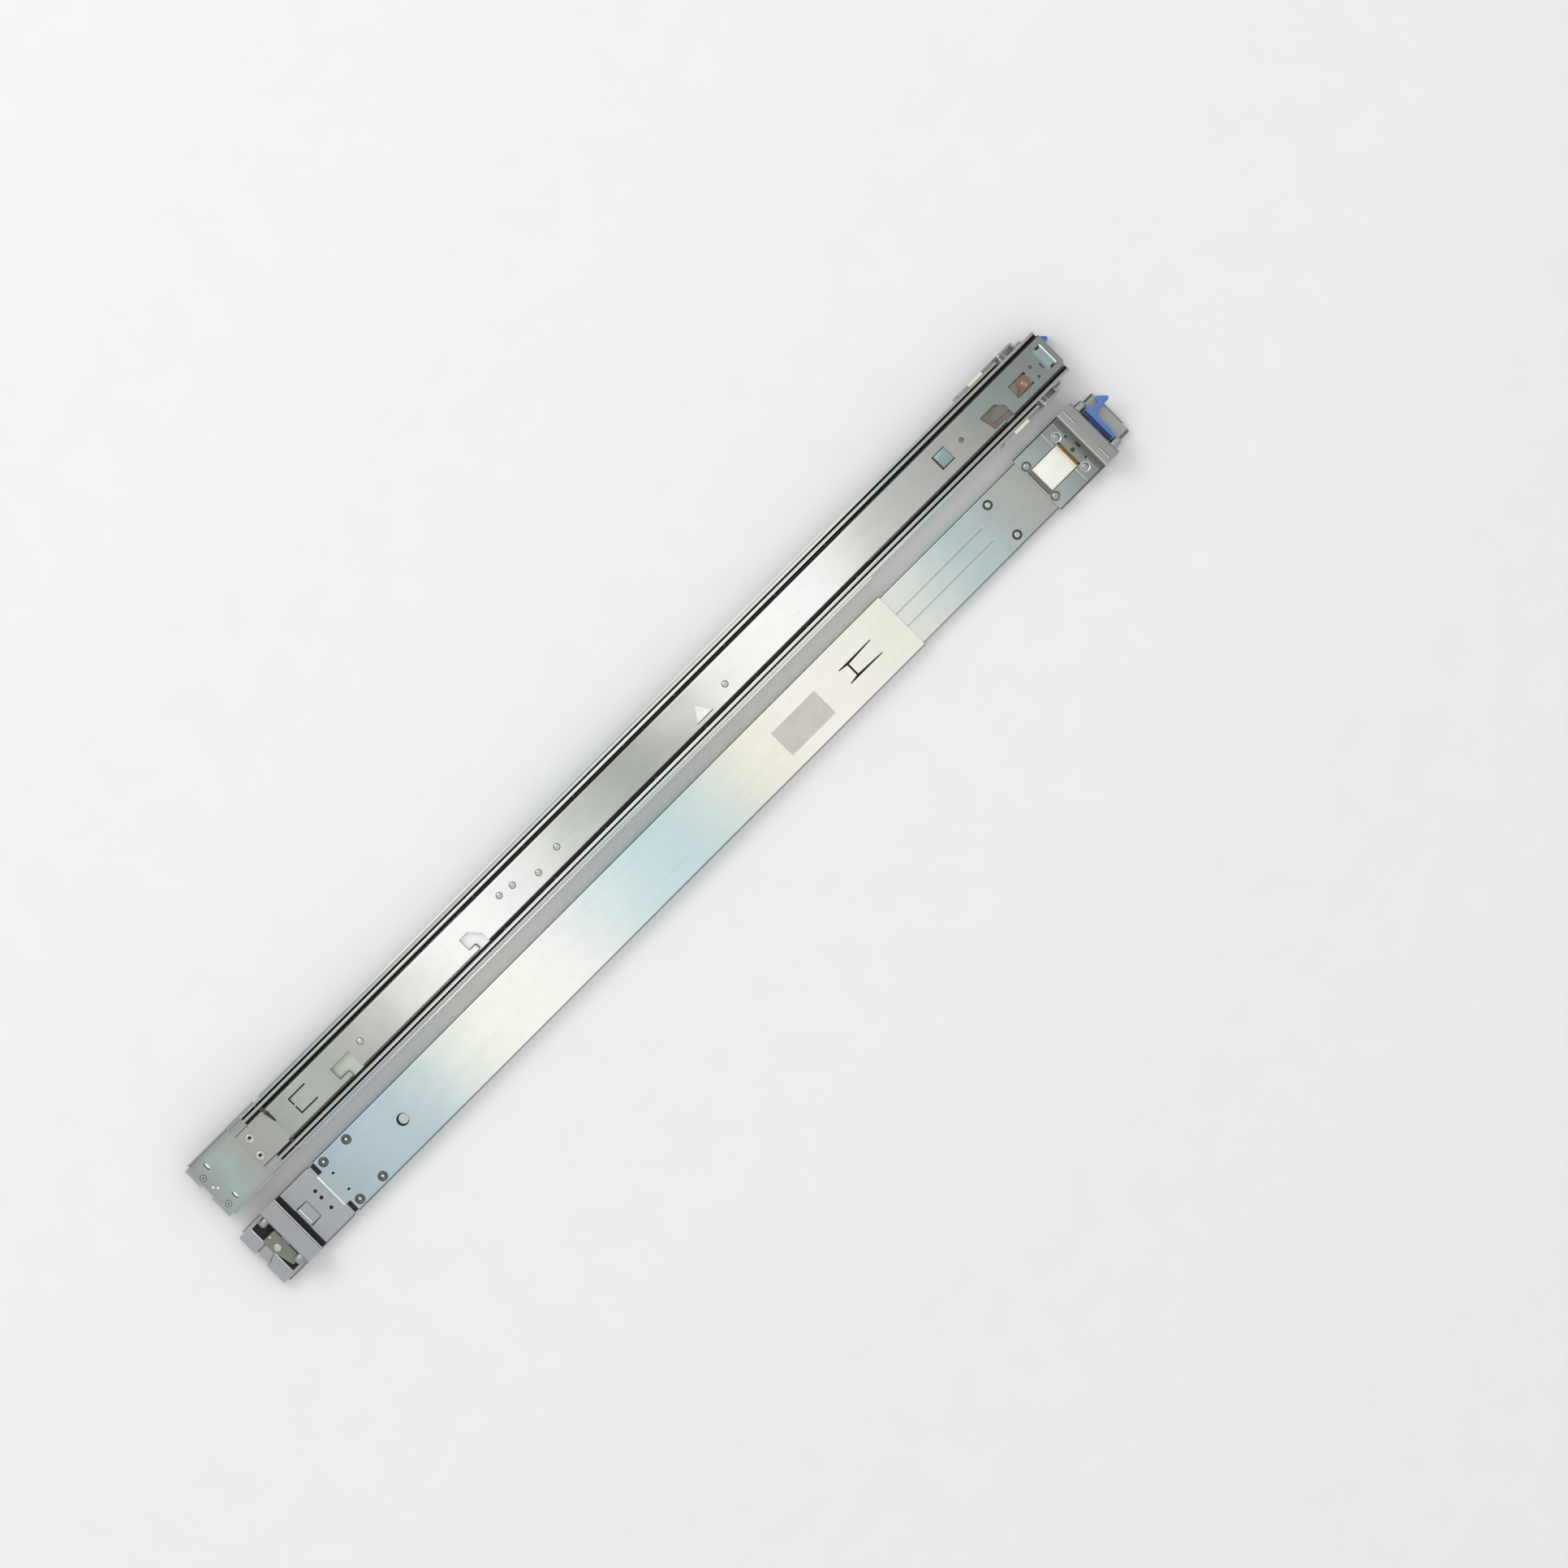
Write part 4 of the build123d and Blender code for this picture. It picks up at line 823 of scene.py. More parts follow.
@dataclass
class RearExtension:
    """Details of the wide channel and the rear bracket.

    Places along the rail are from the bracket's rear end, or from the rear edge of the
    channel's web where a name says so.
    """

    lay: Lay
    tongue: float = 1.9
    web_rivets: tuple[float, float] = (8.0, 28.3)
    rivet_y: float = 16.4
    pin_x: float = 20.7
    # Half of the 31.75 mm between a rack unit's outer holes
    pin_y: float = 15.875
    pin_depth: float = -6.5
    pin_radius: float = 3.0
    pawl_rivet_at: Point = (13.2, -1.5)
    detent_at: Point = (14.2, 6.6)
    plate: float = 1.0
    back: float = 2.0
    window: Span = (9.1, 20.6)
    window_half: float = 18.5
    pawl_sides: Span = (-5.1, 2.1)
    step: Span = (33.3, 37.0)
    step_half: float = 21.0
    web_notch: Span = (-0.3, 2.9)
    notch_across: Span = (12.6, 20.2)
    sight_holes: tuple[Point, ...] = ((54.9, 7.1), (54.9, 1.5), (54.9, -7.3))
    web_dimples: tuple[Point, ...] = ((7.4, 7.2), (7.4, -6.9))
    web_hole: float = 62.6
    web_slot: tuple[float, float, float] = (457.8, 464.9, 485.9)
    cover: Span = (1.95, 75.0)
    cover_half: float = 20.0
    cover_face: float = 2.1
    cover_rivets: tuple[Point, ...] = ((5.4, 8.8), (5.4, -13.7))
    cover_dots: tuple[Point, ...] = ((5.6, 0.3), (7.6, -2.2))
    cover_slot: Point = (12.1, 12.6)
    cover_crest: Point = (12.8, 12.6)
    tongue_edge: Span = (-1.95, -0.9)
    tongue_half: float = 12.4
    flange_edge: Span = (33.25, 33.75)
    flange_root: Span = (21.4, 22.6)
    window_edge: Span = (9.0, 9.4)
    bridge_edge: Span = (39.3, 39.9)
    bridge_half: float = 5.6
    bridge_slit: tuple[Point, ...] = ((38.4, 6.2), (45.6, 6.5), (45.6, 6.9), (38.4, 7.3))
    lip_fold: Span = (2.4, 8.9)
    lip_slope: tuple[Point, ...] = ((2.6, -5.4), (8.9, -2.6), (8.9, -1.4), (2.6, -4.2))

    def build(self) -> None:
        """Make every detail of the extension."""
        self.rivet_heads()
        self.pins()
        self.pawl_rivet()
        self.backing()
        self.inner_cover()
        self.bright_edges()
        self.painted_shade_lines()

    @property
    def end(self) -> float:
        """Return the bracket's rear end."""
        return self.lay.span("rear_bracket")[0]

    @property
    def web(self) -> float:
        """Return where the channel's web starts, behind which only its tongue reaches."""
        return self.lay.span("rear_channel")[0] + self.tongue

    @property
    def dimples(self) -> list[Point]:
        """Return where the channel's two dimples are."""
        return [(self.web + x, y) for x, y in self.web_dimples]

    def rivet_heads(self) -> None:
        """Turn the four rivets: a dome, a grooved flange in painted fold shade and a coined eyelet ringed
        with painted shade.
        """
        places = [place for inset in self.web_rivets for place in pair(self.web + inset, self.rivet_y)]
        dome = [(0, 0.1), (0.7, 0.14), (1.1, 0.35), (1.25, 0.85), (2.3, 0.9), (2.3, 2.0), (0, 2.0)]
        heads = Work(self.lay, "rear_bracket_rivet_heads")
        heads.ring(dome, places)
        heads.finished(RIVET, "rear_extension", ["rear_bracket_rivets"])
        rim = [(1.95, 0.85), (2.05, 0.5), (2.4, 0.35), (2.75, 0.5), (2.85, 1.0), (1.95, 0.95), (1.95, 0.85)]
        flanges = Work(self.lay, "rear_rivet_flanges")
        flanges.ring(rim, places)
        flanges.finished(FOLD, "rear_extension")
        eyelet = [(2.85, 0.55), (3.1, 0.2), (3.26, 0.02), (3.28, 1.0), (2.85, 1.0), (2.85, 0.55)]
        rings = Work(self.lay, "rear_eyelet_rings")
        rings.ring(eyelet, places)
        rings.ring(collar(1.25, 1.95, 0.8, 0.86), places)
        rings.finished(SHADE_LINE, "rear_extension")

    def pins(self) -> None:
        """Turn the two rear pins with rounded tips."""
        r = self.pin_radius
        shape = [(0, 0), (r, 0), (r, -4.0), (0.9 * r, -4.7), (0.62 * r, -5.3), (0.3 * r, -5.5), (0, -5.5)]
        work = Work(self.lay, "rear_pin_turnings")
        for x, y in pair(self.end + self.pin_x, self.pin_y):
            work.turned(shape, (x, y, self.pin_depth), Axis.ALONG)
        work.finished(PIN, "rear_extension", ["rear_pins"])

    def pawl_rivet(self) -> None:
        """Ring the pawl's rivet with a coined edge, and set the pawl's small detent dome, white as a
        painted highlight.
        """
        edge = [
            (1.2, -1.32), (1.35, -1.5), (1.9, -1.55), (2.35, -1.4), (2.5, -1.2), (2.5, -0.6), (1.2, -0.6),
            (1.2, -1.32),
        ]
        (x, y), (dome_x, dome_y) = self.pawl_rivet_at, self.detent_at
        work = Work(self.lay, "rear_pawl_rivet_head")
        work.ring(edge, [(self.end + x, y)])
        work.finished(RIVET, "rear_extension")
        detent = [(0, -0.75), (0.45, -0.68), (0.75, -0.5), (0.9, -0.2), (0, -0.2)]
        dome = Work(self.lay, "rear_pawl_detent")
        dome.ring(detent, [(self.end + dome_x, dome_y)], 20)
        dome.finished(HIGHLIGHT_WHITE, "pawl")

    def backing(self) -> None:
        """Paint shade black on the bottoms of the window, the step, the notches, the holes and the
        channel's slot.
        """
        end, web, plate, back = self.end, self.web, self.plate, self.back
        work = Work(self.lay, "rear_painted_shade_backing")
        work.bar(beyond(end, self.window), (self.pawl_sides[1], self.window_half), back - 0.4, back)
        work.bar(beyond(end, self.window), (-self.window_half, self.pawl_sides[0]), back - 0.4, back)
        work.bar(beyond(end, self.step), (-self.step_half, self.step_half), plate - 0.1, plate)
        work.bar(beyond(web, self.web_notch), self.notch_across, plate - 0.1, plate, mirrored=True)
        work.ring(disc(1.25, back - 0.2, back), [(end + x, y) for x, y in self.sight_holes], 20)
        work.ring(disc(0.95, plate - 0.2, plate), self.dimples, 16)
        work.ring(disc(4.1, back - 0.25, back - 0.05), [(web + self.web_hole, 0.0)])
        start, cross, stop = (web + x for x in self.web_slot)
        for side in (-1, 1):
            slot = [(start, 5.86), (stop, 5.86), (stop, 5.2), (cross, 4.14), (start, 5.2)]
            work.plate([(x, side * y) for x, y in slot], plate - 0.3, plate)
        work.bar((cross - 0.66, cross + 0.66), (-4.1, 4.1), plate - 0.3, plate)
        work.finished(SHADE_BLACK, "rear_extension")

    def inner_cover(self) -> None:
        """Close the bracket's inner side with a thin plate that clears the outer member."""
        end, face = self.end, self.cover_face
        rivets = [(end + x, y) for x, y in self.cover_rivets]
        dots = [(end + x, y) for x, y in self.cover_dots]
        (slot_x, slot_y), (crest_x, crest_y) = self.cover_slot, self.cover_crest
        cover = Work(self.lay, "rear_inner_cover")
        cover.bar(beyond(end, self.cover), (-self.cover_half, self.cover_half), face - 0.08, face + 0.02)
        cover.finished(COVER, "rear_extension")
        # Painted shade: dark rings round the rivets and dark slits beside the oval bumps
        dark = Work(self.lay, "rear_inner_cover_painted_shade")
        dark.ring(collar(1.9, 2.3, face, face + 0.06), rivets)
        dark.ring(disc(0.6, face, face + 0.07), rivets, 16)
        for side in (1, -1):
            dark.oval((end + slot_x, side * slot_y), (0.9, 2.7), face, face + 0.05)
        dark.finished(SHADE_LINE, "rear_extension")
        # Painted highlight: the bright crests of the oval bumps and the two dots
        light = Work(self.lay, "rear_inner_cover_crests")
        for side in (1, -1):
            light.oval((end + crest_x, side * crest_y), (0.75, 2.2), face, face + 0.08)
        light.ring([(0, face), (0.8, face), (0.7, face + 0.07), (0, face + 0.08)], dots, 20)
        light.finished(HIGHLIGHT_WHITE, "rear_extension")

    def bright_edges(self) -> None:
        """Paint highlights on the tongue's end, the flange's front edge, the window's edge and the bridge's
        edge.
        """
        end, web = self.end, self.web
        work = Work(self.lay, "rear_painted_highlights")
        work.bar(beyond(web, self.tongue_edge), (-self.tongue_half, self.tongue_half), -0.05, 0.3, 0.08)
        work.bar(beyond(end, self.flange_edge), (-21.3, 21.3), -11.2, -10.4, 0.1)
        work.bar(beyond(end, self.window_edge), (-self.window_half, self.window_half), 0.93, 1.1, 0.03)
        work.bar(beyond(end, self.bridge_edge), (-self.bridge_half, self.bridge_half), 0.1, 0.3, 0.05)
        work.finished(HIGHLIGHT_WHITE, "rear_extension")
        rims = Work(self.lay, "channel_dimples")
        rims.ring([(1.1, 0.05), (1.4, -0.08), (2.0, 0.05), (1.1, 0.05)], self.dimples, 24)
        # A bright disc set off to the front leaves a crescent of the black backing behind it, as painted
        # shade in the hole
        rims.ring(disc(3.3, 1.5, 1.8), [(web + self.web_hole + 0.7, 0.0)])
        rims.finished(RIVET, "rear_extension")

    def painted_shade_lines(self) -> None:
        """Paint shade in the slits beside the embossed bridge, and on the folds of the end lip and the
        flange's root.
        """
        end, low, high = self.end, self.plate - 0.06, self.plate + 0.1
        work = Work(self.lay, "rear_bridge_slits")
        for side in (-1, 1):
            slit = [(end + x, side * y) for x, y in self.bridge_slit]
            work.plate(slit, self.plate - 0.4, self.plate)
        work.finished(SHADE_LINE, "rear_extension")
        folds = Work(self.lay, "rear_lip_folds")
        folds.bar(beyond(end, self.lip_fold), (4.8, 6.4), low, high, 0.03)
        folds.plate([(end + x, y) for x, y in self.lip_slope], low, high)
        folds.bar(beyond(end, self.flange_root), (-20.8, 20.8), self.plate - 0.07, self.plate - 0.01)
        folds.finished(FOLD, "rear_extension")


@dataclass
class FrontEnd:
    """Details of the outer member's web, the front bracket, its pins and its latch.

    Places on the bracket are behind the rack flange's front face.
    """

    lay: Lay
    rear_rivets: float = 47.6
    front_rivets: float = 21.2
    rivet_y: float = 13.0
    eyelet_x: float = 66.8
    eyelet_y: float = 13.2
    groove_ends: Span = (46.0, 74.4)
    groove_half: float = 5.45
    crest: Span = (0.1, 0.55)
    crest_tail: float = 16.0
    plate: float = 0.7
    window: Span = (46.6, 24.3)
    window_side: Span = (9.3, 9.75)
    window_rear: Span = (-3.4, -2.9)
    window_shade: Span = (-2.9, -0.1)
    window_leaf: Span = (0.1, 2.4)
    flank: Span = (47.0, 17.0)
    flank_across: Span = (21.2, 21.6)
    round_mark: float = 19.2
    small_holes: tuple[Point, ...] = ((22.8, 9.0), (16.6, 9.0))
    small_slot: float = 14.6
    # Each step's rear edge, front edge and inner end
    bright_steps: tuple[tuple[float, float, float], ...] = ((26.8, 26.2, 10.0), (17.2, 16.8, 10.2))
    step_end: float = 20.6
    flange_slit: Span = (7.4, 7.0)
    slit_across: Span = (10.8, 20.7)
    block_half: float = 9.2
    # Half of the 31.75 mm between a rack unit's outer holes
    pin_y: float = 15.875
    pin_depth: float = -6.5
    pin_radius: float = 3.0
    latch_half: float = 2.5
    latch_reach: Span = (0.8, 6.7)
    latch_pivot: float = 6.2
    bar_half: float = 11.9
    tail_half: float = 5.9
    barrel_length: float = 12.0
    spring_y: float = -9.2

    def build(self) -> None:
        """Make every detail of the front."""
        self.rivets()
        self.eyelets()
        self.groove()
        self.window_lining()
        self.small_marks()
        self.slide_block()
        self.pins()
        self.latch()
        self.spring()

    @property
    def face(self) -> float:
        """Return the rack flange's front face."""
        return self.lay.span("front_bracket")[1]

    @property
    def opening(self) -> Span:
        """Return where the slide block's window starts and ends."""
        return self.face - self.window[0], self.face - self.window[1]

    def rivets(self) -> None:
        """Turn the four button heads, the rear two in rings of painted shade and the front two in bright
        rings.
        """
        rear = pair(self.face - self.rear_rivets, self.rivet_y)
        front = pair(self.face - self.front_rivets, self.rivet_y)
        head = [
            (0, -0.3), (0.35, -0.28), (0.5, -0.1), (0.9, -0.12), (1.5, 0.0), (2.1, 0.25), (2.45, 0.5),
            (2.6, 0.75), (2.6, 3.2), (0, 3.2),
        ]
        heads = Work(self.lay, "front_bracket_rivet_heads")
        heads.ring(head, rear + front)
        heads.finished(DULLED, "rails", ["front_bracket_rivets"])
        foot = [(2.6, 0.66), (2.9, 0.6), (3.15, 0.5), (3.15, 0.75), (2.6, 0.75), (2.6, 0.66)]
        dark = Work(self.lay, "front_rivet_dark_rings")
        dark.ring(foot, rear)
        dark.finished(SHADE_LINE, "rails")
        rim = [(3.15, 0.5), (3.4, 0.45), (3.7, 0.75), (3.15, 0.75), (3.15, 0.5)]
        wide = [(2.6, 0.66), (3.0, 0.62), (3.5, 0.4), (3.6, 0.75), (2.6, 0.75), (2.6, 0.66)]
        light = Work(self.lay, "front_rivet_bright_rings")
        light.ring(rim, rear)
        light.ring(wide, front)
        light.finished(RIVET, "rails")

    def eyelets(self) -> None:
        """Turn the two eyelets in the outer member's web behind the bracket."""
        places = pair(self.lay.span("outer_member")[1] - self.eyelet_x, self.eyelet_y)
        rim = [(1.9, 2.1), (2.4, 1.98), (3.0, 2.02), (3.3, 2.2), (3.3, 2.3), (1.9, 2.3), (1.9, 2.1)]
        # Painted shade: a dark ring round each eyelet
        dark = Work(self.lay, "outer_member_eyelet_rings")
        dark.ring(rim, places)
        dark.finished(SHADE_LINE, "rails")
        centre = [
            (0, 2.3), (0.5, 2.3), (0.6, 1.85), (1.2, 1.8), (1.8, 2.0), (1.95, 2.2), (1.95, 2.8), (0, 2.8),
        ]
        core = Work(self.lay, "outer_member_eyelets")
        core.ring(centre, places)
        core.finished(RIVET, "rails")

    def groove(self) -> None:
        """Line the groove: painted shade along its fold, and a crest round its front end in a painted
        highlight.
        """
        rear, front = self.lay.span("outer_member")
        rear, front, half = rear + self.groove_ends[0], front - self.groove_ends[1], self.groove_half
        fold = Work(self.lay, "outer_groove_folds")
        fold.bar((rear, front - half), (half - 0.3, half + 0.05), 2.12, 2.3, mirrored=True)
        fold.finished(FOLD, "rails")
        centre, tail = front - half, front - half - self.crest_tail
        inner, outer = (half + edge for edge in self.crest)
        turns = [math.radians(angle) for angle in range(-80, 91, 10)]
        outline = [(tail, -outer), (centre, -outer)]
        outline += [(centre + outer * math.cos(t), outer * math.sin(t)) for t in turns]
        outline += [(centre + inner * math.cos(t), inner * math.sin(t)) for t in reversed(turns)]
        outline += [(centre, -inner), (tail, -inner)]
        crest = Work(self.lay, "outer_groove_crest")
        crest.plate(outline, 2.08, 2.3, 0.04)
        crest.finished(RIVET, "rails")

    def window_lining(self) -> None:
        """Line the slide block's window with painted shade in its gaps and flanks and at its rear, and with
        its leaf spring.
        """
        face, (rear, front) = self.face, self.opening
        low, high, side = self.plate - 0.06, self.plate + 0.1, self.window_side[0]
        dark = Work(self.lay, "front_window_gap")
        dark.bar((rear - 3.2, front), self.window_side, low, high, mirrored=True)
        dark.bar(beyond(rear, self.window_rear), (-9.6, 9.6), low, high)
        flank = (face - self.flank[0], face - self.flank[1])
        dark.bar(flank, self.flank_across, high, self.plate + 0.6, mirrored=True)
        dark.ring(disc(1.5, self.plate - 0.05, high), [(face - self.round_mark, 0.0)], 24)
        dark.finished(SHADE_LINE, "rails")
        warm = Work(self.lay, "front_window_shade")
        warm.bar(beyond(rear, self.window_shade), (-side, side), self.plate - 0.05, high)
        warm.finished(GUIDE, "rails")
        leaf = Work(self.lay, "front_window_leaf_spring")
        leaf.bar(beyond(front, self.window_leaf), (-8.9, 8.9), self.plate - 0.12, high, 0.05)
        leaf.finished(BRONZE, "rails")

    def small_marks(self) -> None:
        """Paint the small holes and slot black as painted shade, set the steps in front of the window with
        painted highlights, and paint highlights in the flange's slits.
        """
        face, high = self.face, self.plate + 0.1
        black = Work(self.lay, "front_bracket_small_slots")
        spots = [place for inset, y in self.small_holes for place in pair(face - inset, y)]
        black.ring(disc(0.75, self.plate - 0.14, high), spots, 20)
        black.oval((face - self.small_slot, 0.0), (0.85, 2.3), self.plate - 0.1, high)
        black.finished(SHADE_BLACK, "rails")
        light = Work(self.lay, "front_bracket_bright_steps")
        for rear, front, near in self.bright_steps:
            across = (near, self.step_end)
            light.bar((face - rear, face - front), across, self.plate - 0.08, high, 0.04, mirrored=True)
        light.finished(RIVET, "rails")
        slit = Work(self.lay, "front_flange_bright_slits")
        along = (face - self.flange_slit[0], face - self.flange_slit[1])
        slit.bar(along, self.slit_across, -11.45, -11.0, mirrored=True)
        slit.finished(HIGHLIGHT_WHITE, "rails")

    def slide_block(self) -> None:
        """Mould the white slide block and the cream ridge at its front."""
        (rear, front), half = self.opening, self.block_half
        block = Work(self.lay, "slide_block_moulding")
        block.bar((rear + 0.1, front - 0.1), (-half, half), 0.25, 2.18, 0.3)
        block.bar((rear + 0.5, front - 2.6), (-8.8, 8.8), 0.0, 0.6, 0.2)
        block.finished(WHITE, "rails", ["slide_block"])
        ridge = Work(self.lay, "slide_block_front_ridge")
        ridge.bar((front - 2.3, front - 0.5), (-9.0, 9.0), -0.08, 0.6, 0.2)
        ridge.finished(CREAM, "rails")

    def pins(self) -> None:
        """Turn the two front pins with rounded tips."""
        r = self.pin_radius
        shape = [(0, 0), (r, 0), (r, 4.9), (0.92 * r, 5.6), (0.66 * r, 6.2), (0.3 * r, 6.4), (0, 6.4)]
        work = Work(self.lay, "front_pin_turnings")
        for x, y in pair(self.face, self.pin_y):
            work.turned(shape, (x, y, self.pin_depth), Axis.ALONG)
        work.finished(PIN, "rails", ["front_pins"])

    def latch(self) -> None:
        """Mould the blue latch: its barrel, tail, bar and barbed arm, with a root strip in navy painted
        shade.
        """
        tip = self.lay.span("front_latch")[1]
        rear, front = (self.face + reach for reach in self.latch_reach)
        low, high = self.pin_depth - self.latch_half, self.pin_depth + self.latch_half
        end, tail = self.bar_half, self.tail_half
        bar = [
            (rear, -end), (front - 2.4, -end), (front, -9.4), (front, 5.2), (front + 1.2, 6.5),
            (tip - 1.2, 6.6), (tip, 7.5), (tip, 8.8), (tip - 5.0, 13.4), (tip - 6.9, 13.4),
            (tip - 7.2, 11.0), (tip - 7.4, 9.9), (front + 1.4, 9.7), (front, 10.8), (front, end),
            (rear, end),
        ]
        work = Work(self.lay, "front_latch_moulding")
        work.plate(bar, low, high, 0.45)
        pivot = self.face - self.latch_pivot
        work.bar((pivot, rear + 1.0), (-tail, tail), low + 1.0, high - 1.0, 0.2)
        barrel = bmesh.new()
        turn = Matrix.Translation((pivot, 0, self.pin_depth)) @ Matrix.Rotation(math.pi / 2, 4, "X")
        bmesh.ops.create_cone(
            barrel, cap_ends=True, segments=32, radius1=self.latch_half, radius2=self.latch_half,
            depth=self.barrel_length, matrix=turn,
        )
        work.join(barrel)
        work.finished(BLUE, "latch", ["front_latch"])
        root = Work(self.lay, "front_latch_root")
        root.bar((rear - 0.05, rear + 2.8), (-11.95, 11.95), low - 0.15, high + 0.1, 0.1)
        root.finished(NAVY, "latch")

    def spring(self) -> None:
        """Wind the torsion spring that the solids give as a sleeve."""
        start = (self.face - self.latch_pivot, self.spring_y, self.pin_depth)
        work = Work(self.lay, "front_latch_spring_coil")
        work.coil(start, radius=1.85, wire=0.32, turns=4.0, length=2.6)
        work.finished(WIRE, "rails", ["front_latch_spring"])


@dataclass
class SlideInterior:
    """What shows between the members: race floors in painted shade, bright lip strips, stops and the
    tongue's eyelets.
    """

    lay: Lay
    tongue: float = 10.8
    inner_race: Span = (12.9, 14.9)
    inner_race_floor: Span = (4.86, 4.98)
    outer_race: Span = (16.1, 18.9)
    outer_race_floor: Span = (3.16, 3.28)
    inner_lip: Span = (15.0, 15.98)
    outer_lip: Span = (18.3, 19.28)
    inner_stop: Point = (24.4, 13.3)
    outer_stop: Point = (23.0, 18.1)
    eyelets: tuple[Point, ...] = ((6.1, 6.2), (3.3, -6.3))

    def build(self) -> None:
        """Make every detail between the members."""
        self.races()
        self.stops()
        self.bumper()
        self.tongue_eyelets()

    def races(self) -> None:
        """Paint shade black on the two race floors, and lay bright strips of the members' zinc on their
        lips beside them.
        """
        start, end = self.lay.span("intermediate_member")
        rear, front = self.lay.span("outer_member")
        inner_shade = Work(self.lay, "inner_race_painted_shade")
        inner_shade.bar((start + self.tongue, end - 0.2), self.inner_race, *self.inner_race_floor, mirrored=True)
        inner_shade.finished(SHADE_BLACK, "intermediate")
        race = Work(self.lay, "outer_race_painted_shade")
        race.bar((rear + self.tongue, front - 0.2), self.outer_race, *self.outer_race_floor, mirrored=True)
        race.finished(SHADE_BLACK, "rails")
        lips = Work(self.lay, "intermediate_race_lips")
        lips.bar((start + self.tongue, end - 0.3), self.inner_lip, 9.8, 9.97, 0.05, mirrored=True)
        lips.finished(MEMBER, "intermediate")
        curls = Work(self.lay, "outer_race_lips")
        curls.bar((rear + self.tongue, front - 0.3), self.outer_lip, 9.42, 9.66, 0.06, mirrored=True)
        curls.finished(MEMBER, "rails")

    def stops(self) -> None:
        """Turn the rubber stops that stand in the races."""
        start, rear = (self.lay.span(name)[0] for name in ("intermediate_member", "outer_member"))
        (inner_x, inner_y), (outer_x, outer_y) = self.inner_stop, self.outer_stop
        stops = Work(self.lay, "rear_slide_stops")
        wide = [(0, 4.88), (1.6, 4.88), (1.6, 9.2), (1.4, 9.4), (0, 9.4)]
        stops.ring(wide, pair(start + inner_x, inner_y), 24)
        stops.finished(RUBBER, "intermediate")
        outer = Work(self.lay, "outer_slide_stops")
        slim = [(0, 3.18), (0.95, 3.18), (0.95, 9.0), (0.8, 9.2), (0, 9.2)]
        outer.ring(slim, pair(rear + outer_x, outer_y), 20)
        outer.finished(RUBBER, "rails")

    def bumper(self) -> None:
        """Mould the wedge of black rubber on the tongue."""
        face = self.lay.span("rear_bumper")[1]
        bumper = Work(self.lay, "rear_bumper_wedge")
        bumper.plate([(face - 2.9, 10.9), (face, 10.9), (face, 2.2), (face - 1.0, 2.2)], 4.92, 8.9, 0.25)
        bumper.finished(RUBBER, "intermediate", ["rear_bumper"])

    def tongue_eyelets(self) -> None:
        """Turn the tongue's two eyelets, and paint shade black in their holes and at the ends of the races.
        """
        start = self.lay.span("intermediate_member")[0]
        places = [(start + x, y) for x, y in self.eyelets]
        rim = [
            (1.1, 4.85), (1.15, 5.2), (1.7, 5.3), (2.1, 5.05), (2.4, 4.98), (2.8, 5.1), (3.1, 4.85),
            (1.1, 4.85),
        ]
        rims = Work(self.lay, "intermediate_tongue_eyelets")
        rims.ring(rim, places)
        rims.finished(RIVET, "intermediate")
        holes = Work(self.lay, "intermediate_tongue_holes")
        holes.ring(disc(1.1, 4.86, 4.95), places, 20)
        holes.bar((start + 0.1, start + self.tongue - 0.1), (12.55, 12.95), 4.86, 4.94, mirrored=True)
        holes.finished(SHADE_BLACK, "intermediate")


